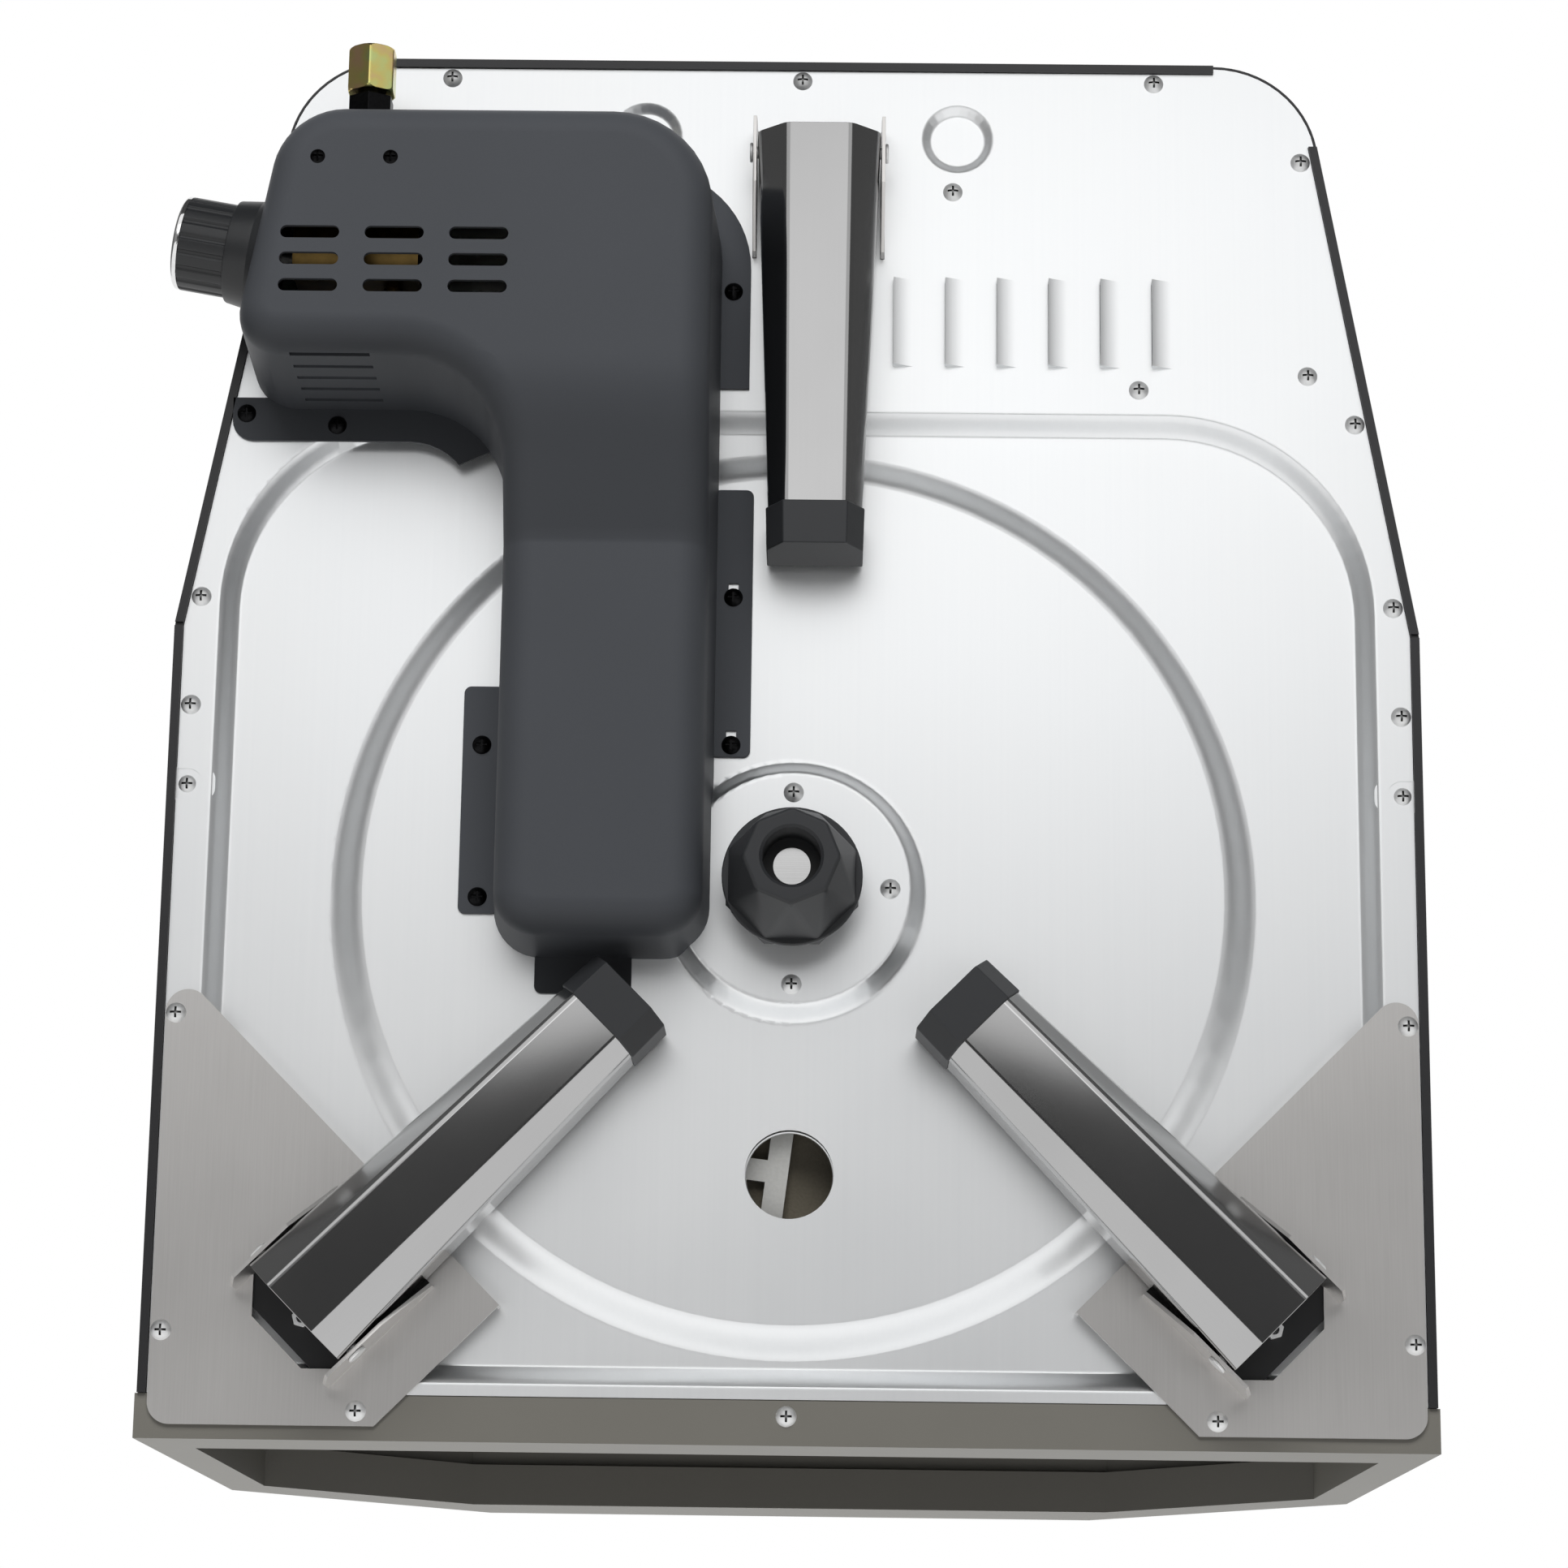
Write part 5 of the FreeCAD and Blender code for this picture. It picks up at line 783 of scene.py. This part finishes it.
# %% [markdown]
# ## Finishes
# Each finish starts from the real material and how its surface was made. Patterns read Object coordinates
# in metres, so a scale of 1 over a size in metres gives a pattern of that real size. Colours are written
# as a paint chart would give them and turned to linear light by one function.


# %% Node helpers
def colour(text):
    """Linear colour from an sRGB hex value."""
    parts = [int(text[i:i + 2], 16) / 255 for i in (1, 3, 5)]
    return [c / 12.92 if c <= 0.04045 else ((c + 0.055) / 1.055) ** 2.4 for c in parts] + [1.0]


def add(tree, kind, inputs=None, **settings):
    """One shader node; an input is a value or another node's socket."""
    node = tree.nodes.new(kind)
    for key, value in settings.items():
        setattr(node, key, value)
    for key, value in (inputs or {}).items():
        if isinstance(value, bpy.types.NodeSocket):
            tree.links.new(value, node.inputs[key])
        else:
            node.inputs[key].default_value = value
    return node


def blank(name):
    """Material with a principled shader and Object coordinates."""
    material = bpy.data.materials.new(name)
    material.use_nodes = True
    tree = material.node_tree
    tree.nodes.clear()
    shader = add(tree, "ShaderNodeBsdfPrincipled")
    add(tree, "ShaderNodeOutputMaterial", {"Surface": shader.outputs["BSDF"]})
    place = add(tree, "ShaderNodeTexCoord").outputs["Object"]
    return material, tree, shader, place


def vary(tree, shader, fac, dark, light, smooth_value, rough_value):
    """Colour and roughness that follow one pattern."""
    tint = add(tree, "ShaderNodeMix", {"Factor": fac, 6: colour(dark), 7: colour(light)}, data_type="RGBA")
    tree.links.new(tint.outputs[2], shader.inputs["Base Color"])
    rough = add(tree, "ShaderNodeMapRange", {"Value": fac, "To Min": smooth_value, "To Max": rough_value})
    tree.links.new(rough.outputs["Result"], shader.inputs["Roughness"])


def dent(tree, shader, height, depth):
    """Relief of some millimetres that follows a pattern."""
    bump = add(tree, "ShaderNodeBump", {"Height": height, "Distance": depth * MM, "Strength": 1.0})
    tree.links.new(bump.outputs["Normal"], shader.inputs["Normal"])


# %% [markdown]
# Sheet metal: rolled or brushed lines run one way, so the noise is stretched along that way. The lines of
# a real brushed sheet are about 0.1 mm apart; they are drawn coarser so that they show at this distance.


# %% Metals
def brushed(name, dark, light, smooth_value, rough_value, line=0.8, length=60.0, turn=0.0, depth=0.004,
            cloud=90.0, clean=0.55):
    """Metal with fine lines along one direction and a slow cloudiness of its sheen."""
    material, tree, shader, place = blank(name)
    shader.inputs["Metallic"].default_value = 1.0
    turned = add(tree, "ShaderNodeMapping", {"Vector": place, "Rotation": (0, 0, math.radians(turn)),
                                             "Scale": (length * MM, line * MM, line * MM)},
                 vector_type="TEXTURE")
    lines = add(tree, "ShaderNodeTexNoise", {"Vector": turned.outputs["Vector"], "Scale": 1.0, "Detail": 3.0})
    clouds = add(tree, "ShaderNodeTexNoise", {"Vector": place, "Scale": 1 / (cloud * MM), "Detail": 3.0})
    both = add(tree, "ShaderNodeMix", {"Factor": clean, 2: lines.outputs["Fac"], 3: clouds.outputs["Fac"]},
               data_type="FLOAT")
    vary(tree, shader, both.outputs[0], dark, light, smooth_value, rough_value)
    if depth:
        dent(tree, shader, lines.outputs["Fac"], depth)
    return material


# Near-black colour painted into narrow recesses as shade.
GRIME = "#1A1A1A"


def plated(name, dark, light, smooth_value, rough_value, speck=1.5, grime=0.0):
    """Turned or plated small part: a fine mottled sheen, with painted shade in recesses narrower than the given
    reach.
    """
    material, tree, shader, place = blank(name)
    shader.inputs["Metallic"].default_value = 1.0
    mottle = add(tree, "ShaderNodeTexNoise", {"Vector": place, "Scale": 1 / (speck * MM), "Detail": 4.0})
    vary(tree, shader, mottle.outputs["Fac"], dark, light, smooth_value, rough_value)
    dent(tree, shader, mottle.outputs["Fac"], 0.01)
    # Painted shade: the base colour goes towards near black where ambient occlusion finds the piece's own surfaces
    # close by, as in a screw's cross.
    if grime:
        bare = shader.inputs["Base Color"].links[0].from_socket
        openness = add(tree, "ShaderNodeAmbientOcclusion", {"Distance": grime * MM}, only_local=True)
        clean = add(tree, "ShaderNodeMapRange", {"Value": openness.outputs["AO"], "From Min": 0.45,
                                                 "From Max": 0.95})
        shade = add(tree, "ShaderNodeMix", {"Factor": clean.outputs["Result"], 6: colour(GRIME), 7: bare},
                    data_type="RGBA")
        tree.links.new(shade.outputs[2], shader.inputs["Base Color"])
    return material


# %% [markdown]
# Powder coat and moulded plastic: not metallic, with a fine orange-peel or spark-eroded grain that breaks
# up the highlight. The grain is about half a millimetre.


# %% Paints, plastics and minerals
def coated(name, dark, light, smooth_value, rough_value, grain=0.6, depth=0.02, cloud=60.0, ior=1.5):
    """Paint, plastic or mineral: a fine grain over slow clouds."""
    material, tree, shader, place = blank(name)
    shader.inputs["IOR"].default_value = ior
    peel = add(tree, "ShaderNodeTexNoise", {"Vector": place, "Scale": 1 / (grain * MM), "Detail": 2.0})
    clouds = add(tree, "ShaderNodeTexNoise", {"Vector": place, "Scale": 1 / (cloud * MM), "Detail": 4.0})
    both = add(tree, "ShaderNodeMix", {"Factor": 0.5, 2: peel.outputs["Fac"], 3: clouds.outputs["Fac"]},
               data_type="FLOAT")
    vary(tree, shader, both.outputs[0], dark, light, smooth_value, rough_value)
    dent(tree, shader, peel.outputs["Fac"], depth)
    return material


# %% [markdown]
# One finish for each kind of surface on the oven. The two colours are the darkest and lightest shade of
# the pattern, and the two numbers after them the smoothest and roughest spot.

# %% Finishes of the oven
FINISHES = {
    # Rolled sheet with an aluminium coat: pale, with faint long lines and a wide soft sheen.
    "pan_sheet": brushed("aluminised_steel", "#ECEEF0", "#FBFCFC", 0.37, 0.47, 1.4, 220.0, 90.0, 0.003,
                         140.0, 0.75),
    # Baked powder on the outer shell: nearly black, with a satin orange peel.
    "shell_paint": coated("satin_black_powder_coat", "#141415", "#1E1E20", 0.34, 0.46),
    # Fired enamel round the mouth: warm grey and finer than the powder coat.
    "fascia_paint": coated("grey_bronze_enamel", "#615F59", "#6E6C66", 0.38, 0.5, 0.4, 0.012),
    # Unpolished stainless inside: dull lines.
    "oven_steel": brushed("plain_stainless", "#8E8C88", "#A9A7A3", 0.3, 0.42),
    # Felted ceramic wool: chalky, with deep fibres.
    "blanket": coated("ceramic_fibre", "#CFCBC0", "#E8E5DC", 0.85, 0.95, 1.5, 0.3),
    # Brushed plate of the corners: short lines from front to back.
    "stainless": brushed("brushed_stainless", "#C6C4C2", "#DEDCDA", 0.3, 0.42, 0.7, 40.0, 90.0),
    # Moulded nylon of caps and knobs: dark, with a spark-eroded grain.
    "black_plastic": coated("moulded_black_nylon", "#1C1D1F", "#27282A", 0.42, 0.56),
    # Moulded phenolic of the gas knob: a little glossier.
    "black_satin_plastic": coated("satin_black_phenolic", "#161718", "#202123", 0.34, 0.46),
    # Matt powder on the valve cover: soft charcoal with hardly any highlight.
    "cover_paint": coated("matt_black_powder_coat", "#393B3E", "#414347", 0.48, 0.58, 0.5, 0.02, ior=1.33),
    # Fired stone: dry and cloudy, with open pores, its colours darkened as painted shade.
    "stone": coated("fired_cordierite", "#4C483F", "#6E685C", 0.8, 0.95, 1.2, 0.15, 25.0),
    # Sand-cast iron: dark with a coarse skin.
    "cast": plated("sand_cast_iron", "#2E2E30", "#48484A", 0.45, 0.6, 1.2),
    # Pressed and sintered bronze: brown and slightly porous.
    "bronze": plated("sintered_bronze", "#8A6A3C", "#A88550", 0.35, 0.5),
    # Machined brass: near-black patches of painted shade between gold ones.
    "brass": plated("machined_brass", "#16130E", "#7F683C", 0.25, 0.45, 9.0),
    # Zinc plate on the screws: pale, with painted shade in recesses under 1.6 mm.
    "zinc": plated("bright_zinc_plating", "#DCDDDE", "#F3F3F2", 0.48, 0.6, 1.5, 1.6),
    # Blackened steel: almost black with an oily sheen.
    "black_zinc": plated("black_oxide_steel", "#121213", "#232324", 0.3, 0.46),
    # Chrome on the knob's end ring: a mirror.
    "chrome": plated("chrome_plating", "#DADADA", "#EFEFEF", 0.05, 0.1),
    # Glazed insulator of the spark electrode: cream and shiny.
    "ceramic": coated("glazed_alumina", "#E4DFD4", "#F2EEE6", 0.15, 0.25),
}
print("finishes", len(FINISHES))

# %% [markdown]
# Yellow passivated zinc is not one colour: thin oxide shows gold with drifts of green and pink. A slow
# noise picks between those three.


# %% Yellow zinc
GOLD = "#D6C87A"
GREENISH = "#C6CE88"
PINKISH = "#DDB98F"
DRIFT_SIZE = 9.0


def yellow_zinc():
    """Passivated zinc whose oxide drifts between three tints."""
    material, tree, shader, place = blank("yellow_passivated_zinc")
    shader.inputs["Metallic"].default_value = 1.0
    drift = add(tree, "ShaderNodeTexNoise", {"Vector": place, "Scale": 1 / (DRIFT_SIZE * MM), "Detail": 2.0})
    ramp = add(tree, "ShaderNodeValToRGB", {"Fac": drift.outputs["Fac"]})
    stops = ramp.color_ramp.elements
    stops[0].position = 0.34
    stops[0].color = colour(GREENISH)
    stops[1].position = 0.68
    stops[1].color = colour(PINKISH)
    middle = stops.new(0.5)
    middle.color = colour(GOLD)
    tree.links.new(ramp.outputs["Color"], shader.inputs["Base Color"])
    rough = add(tree, "ShaderNodeMapRange", {"Value": drift.outputs["Fac"], "To Min": 0.14, "To Max": 0.3})
    tree.links.new(rough.outputs["Result"], shader.inputs["Roughness"])
    return material


FINISHES["yellow_zinc"] = yellow_zinc()
print("finishes", len(FINISHES))

# %% [markdown]
# The legs are polished strip, so they mirror the studio. Their faint lines run along each leg, so each leg
# has its own finish, turned to its own direction. The rear leg's strip is painted darker than the others, as
# painted shade. The plates behind the hinge openings are painted near black as shade, so that the openings
# read as dark holes, and the spider under the stone is pickled pale.

# %% Polished legs and two special finishes
FINISHES["polished_stainless"] = brushed("polished_stainless", "#A3A3A3", "#BDBDBD", 0.1, 0.17)
PICKLED = plated("pickled_stainless", "#C9C9C6", "#E2E2DF", 0.5, 0.62)
# Near black painted on the plates behind the hinge openings, as shade.
BACKING = coated("blackened_steel", "#0E0E0F", "#18181A", 0.5, 0.62)
LEG_TURN = {"right": 135.0, "left": 45.0, "rear": -90.0}
LEG_FINISH = {}
for side, turn in LEG_TURN.items():
    # The rear leg gets darker tones of the same polished strip, as painted shade.
    shades = ("#909090", "#A8A8A8") if side == "rear" else ("#A6A6A6", "#C0C0C0")
    LEG_FINISH[side] = brushed("polished_" + side + "_strip", *shades, 0.08, 0.13, line=1.2, length=90.0,
                               turn=turn, depth=0.0, cloud=120.0, clean=0.92)
print("leg finishes", len(LEG_FINISH))

# %% [markdown]
# Every piece now gets its finish. A node and the finer piece that stands for it always get the same one.


# %% Dressing
def dress(piece, material):
    piece.data.materials.clear()
    piece.data.materials.append(material)


for name in ("right_notch_tab", "left_notch_tab"):
    dress(DRESSED[name], FINISHES["pan_sheet"])
for node, piece in NODES.items():
    material = FINISHES[SLOT_OF[node]]
    side = node.split("_")[0]
    if node.endswith("_leg"):
        material = LEG_FINISH[side]
    # The plates behind the hinge openings get the near black of painted shade.
    if node == "hinge_backing_plates":
        material = BACKING
    if node == "turntable_spider":
        material = PICKLED
    if node == "oven_liner":
        material = FINISHES["fascia_paint"]
    dress(piece, material)
    if node in DRESSED:
        dress(DRESSED[node], material)
print("dressed", len(NODES), "nodes and", len(DRESSED), "finer pieces")

# %% [markdown]
# ## Studio
# The oven is seen from below. The camera stands where the fitted perspective of the photo puts it, with the
# focal length in pixels turned into a lens.

# %% Camera
CAMERA_PLACE = (-13.65, -317.93, -1581.82)
CAMERA_TURN = (-167.0468, -0.4759, 179.2622)
PHOTO_WIDTH = 1932
FOCAL_PIXELS = 4800
camera_data = bpy.data.cameras.new("camera")
camera_data.sensor_width = 36.0
camera_data.lens = FOCAL_PIXELS / PHOTO_WIDTH * camera_data.sensor_width
camera_data.clip_end = 50
camera = bpy.data.objects.new("camera", camera_data)
bpy.context.scene.collection.objects.link(camera)
camera.location = spot(*CAMERA_PLACE)
camera.rotation_euler = [math.radians(v) for v in CAMERA_TURN]
bpy.context.scene.camera = camera
print("lens", round(camera_data.lens, 2))


# %% [markdown]
# The light comes from large soft panels under and above the oven. They light it but don't show in
# reflections, where the cards of the next cell are seen instead.


# %% Lamps
def panel_lamp(name, place, aim, width, height, power):
    """Soft rectangular lamp that points at a place."""
    lamp = bpy.data.lights.new(name, "AREA")
    lamp.shape = "RECTANGLE"
    lamp.size = width
    lamp.size_y = height
    lamp.energy = power
    lamp_object = bpy.data.objects.new(name, lamp)
    bpy.context.scene.collection.objects.link(lamp_object)
    lamp_object.location = place
    lamp_object.visible_glossy = False
    lamp_object.visible_camera = False
    lamp_object.rotation_euler = (Vector(aim) - Vector(place)).to_track_quat("-Z", "Y").to_euler()
    print(name, power, "W")


panel_lamp("under_back", (0.1, 2.1, -2.0), (0, 0.0, 0.08), 2.4, 1.6, 120)
panel_lamp("under_front", (0.3, -1.7, -1.2), (0, -0.2, 0.1), 2.2, 1.2, 12)
panel_lamp("above_front", (0.6, -1.9, 1.6), (0, -0.2, 0.15), 2.0, 1.6, 42)
panel_lamp("above_back", (-0.8, 1.8, 1.8), (0, 0, 0.15), 2.0, 1.4, 30)


# %% [markdown]
# Polished metal looks like what it mirrors. Grey panels that only reflections see give the legs and the
# pan their darker parts, as cards do in a studio, and one bright panel behind the lens gives the pan and
# the flat of the rear leg their sheen.


# %% Cards
def card(name, place, aim, width, height, grey, glow=1.0):
    """Flat panel of an even grey that only reflections see."""
    bpy.ops.object.select_all(action="DESELECT")
    bpy.ops.mesh.primitive_plane_add(size=1, location=place)
    panel = bpy.context.object
    panel.name = name
    panel.scale = (width, height, 1)
    panel.rotation_euler = (Vector(aim) - Vector(place)).to_track_quat("Z", "Y").to_euler()
    material = bpy.data.materials.new(name + "_felt")
    material.use_nodes = True
    tree = material.node_tree
    tree.nodes.clear()
    light = add(tree, "ShaderNodeEmission", {"Color": colour(grey), "Strength": glow})
    add(tree, "ShaderNodeOutputMaterial", {"Surface": light.outputs["Emission"]})
    material.cycles.emission_sampling = "NONE"
    panel.data.materials.append(material)
    for ray in ("camera", "diffuse", "shadow", "transmission", "volume_scatter"):
        setattr(panel, "visible_" + ray, False)
    print(name, grey)


card("lens_side_card", (0.0, -0.2, -1.55), (0, -0.2, 0.08), 1.0, 0.64, "#4C4C4C")
card("left_card", (-1.3, 0.65, -0.05), (0, 0.65, -0.05), 2.0, 1.9, "#6C6C6C")
card("right_card", (1.3, 0.65, -0.05), (0, 0.65, -0.05), 2.0, 1.9, "#6C6C6C")
card("back_card", (0.0, 1.7, -0.05), (0, 0, -0.05), 2.6, 1.9, "#484848")
card("left_low_card", (-0.95, 0.1, -1.45), (0, 0.1, 0.08), 0.8, 1.5, "#8E8E8E")
card("right_low_card", (0.95, 0.1, -1.45), (0, 0.1, 0.08), 0.8, 1.5, "#8E8E8E")
card("soft_box", (0.0, 0.62, -1.56), (0, 0.62, 0.08), 1.3, 0.7, "#FFFFFF", 1.6)

# %% [markdown]
# The floor is for the views from above. It takes the oven's shadow, fades out with distance so that it has
# no edge, and is see-through from underneath, so the photo's view from below isn't blocked.

# %% Floor
FLOOR_SIZE = 3.0
FADE_START = 0.3
FADE_END = 1.1
bpy.ops.object.select_all(action="DESELECT")
bpy.ops.mesh.primitive_plane_add(size=FLOOR_SIZE, location=(0, 0, 0))
floor = bpy.context.object
floor.name = "floor"
floor_material = bpy.data.materials.new("pale_floor")
floor_material.use_nodes = True
tree = floor_material.node_tree
tree.nodes.clear()
pale = add(tree, "ShaderNodeBsdfDiffuse", {"Color": colour("#F2F2F2")})
clear = add(tree, "ShaderNodeBsdfTransparent", {"Color": colour("#FFFFFF")})
facing = add(tree, "ShaderNodeNewGeometry")
place = add(tree, "ShaderNodeTexCoord").outputs["Object"]
reach = add(tree, "ShaderNodeVectorMath", {0: place}, operation="LENGTH")
fade = add(tree, "ShaderNodeMapRange", {"Value": reach.outputs["Value"], "From Min": FADE_START,
                                        "From Max": FADE_END}, interpolation_type="SMOOTHSTEP")
hidden = add(tree, "ShaderNodeMath", {0: facing.outputs["Backfacing"], 1: fade.outputs["Result"]},
             operation="MAXIMUM")
mixed = add(tree, "ShaderNodeMixShader", {"Fac": hidden.outputs[0], 1: pale.outputs["BSDF"],
                                          2: clear.outputs["BSDF"]})
add(tree, "ShaderNodeOutputMaterial", {"Surface": mixed.outputs["Shader"]})
floor.data.materials.append(floor_material)
for ray in ("diffuse", "glossy", "transmission", "shadow", "volume_scatter"):
    setattr(floor, "visible_" + ray, False)
print("floor", FLOOR_SIZE, "m")

# %% [markdown]
# The world is white to the camera, to reflections and through clear things, and only a dim fill to the
# rest, so the background is white without more light on the oven.

# %% World
FILL = 0.2
WHITE = 1.0
world = bpy.data.worlds.new("white_surround")
bpy.context.scene.world = world
world.use_nodes = True
tree = world.node_tree
tree.nodes.clear()
path = add(tree, "ShaderNodeLightPath")
seen = add(tree, "ShaderNodeMath", {0: path.outputs["Is Camera Ray"], 1: path.outputs["Is Glossy Ray"]},
           operation="MAXIMUM")
seen = add(tree, "ShaderNodeMath", {0: seen.outputs[0], 1: path.outputs["Is Transmission Ray"]},
           operation="MAXIMUM")
strength = add(tree, "ShaderNodeMapRange", {"Value": seen.outputs[0], "To Min": FILL, "To Max": WHITE})
sky = add(tree, "ShaderNodeBackground", {"Color": colour("#FFFFFF"), "Strength": strength.outputs["Result"]})
add(tree, "ShaderNodeOutputWorld", {"Surface": sky.outputs["Background"]})
bpy.context.scene.view_settings.view_transform = "Standard"
print("world", FILL, "to", WHITE)
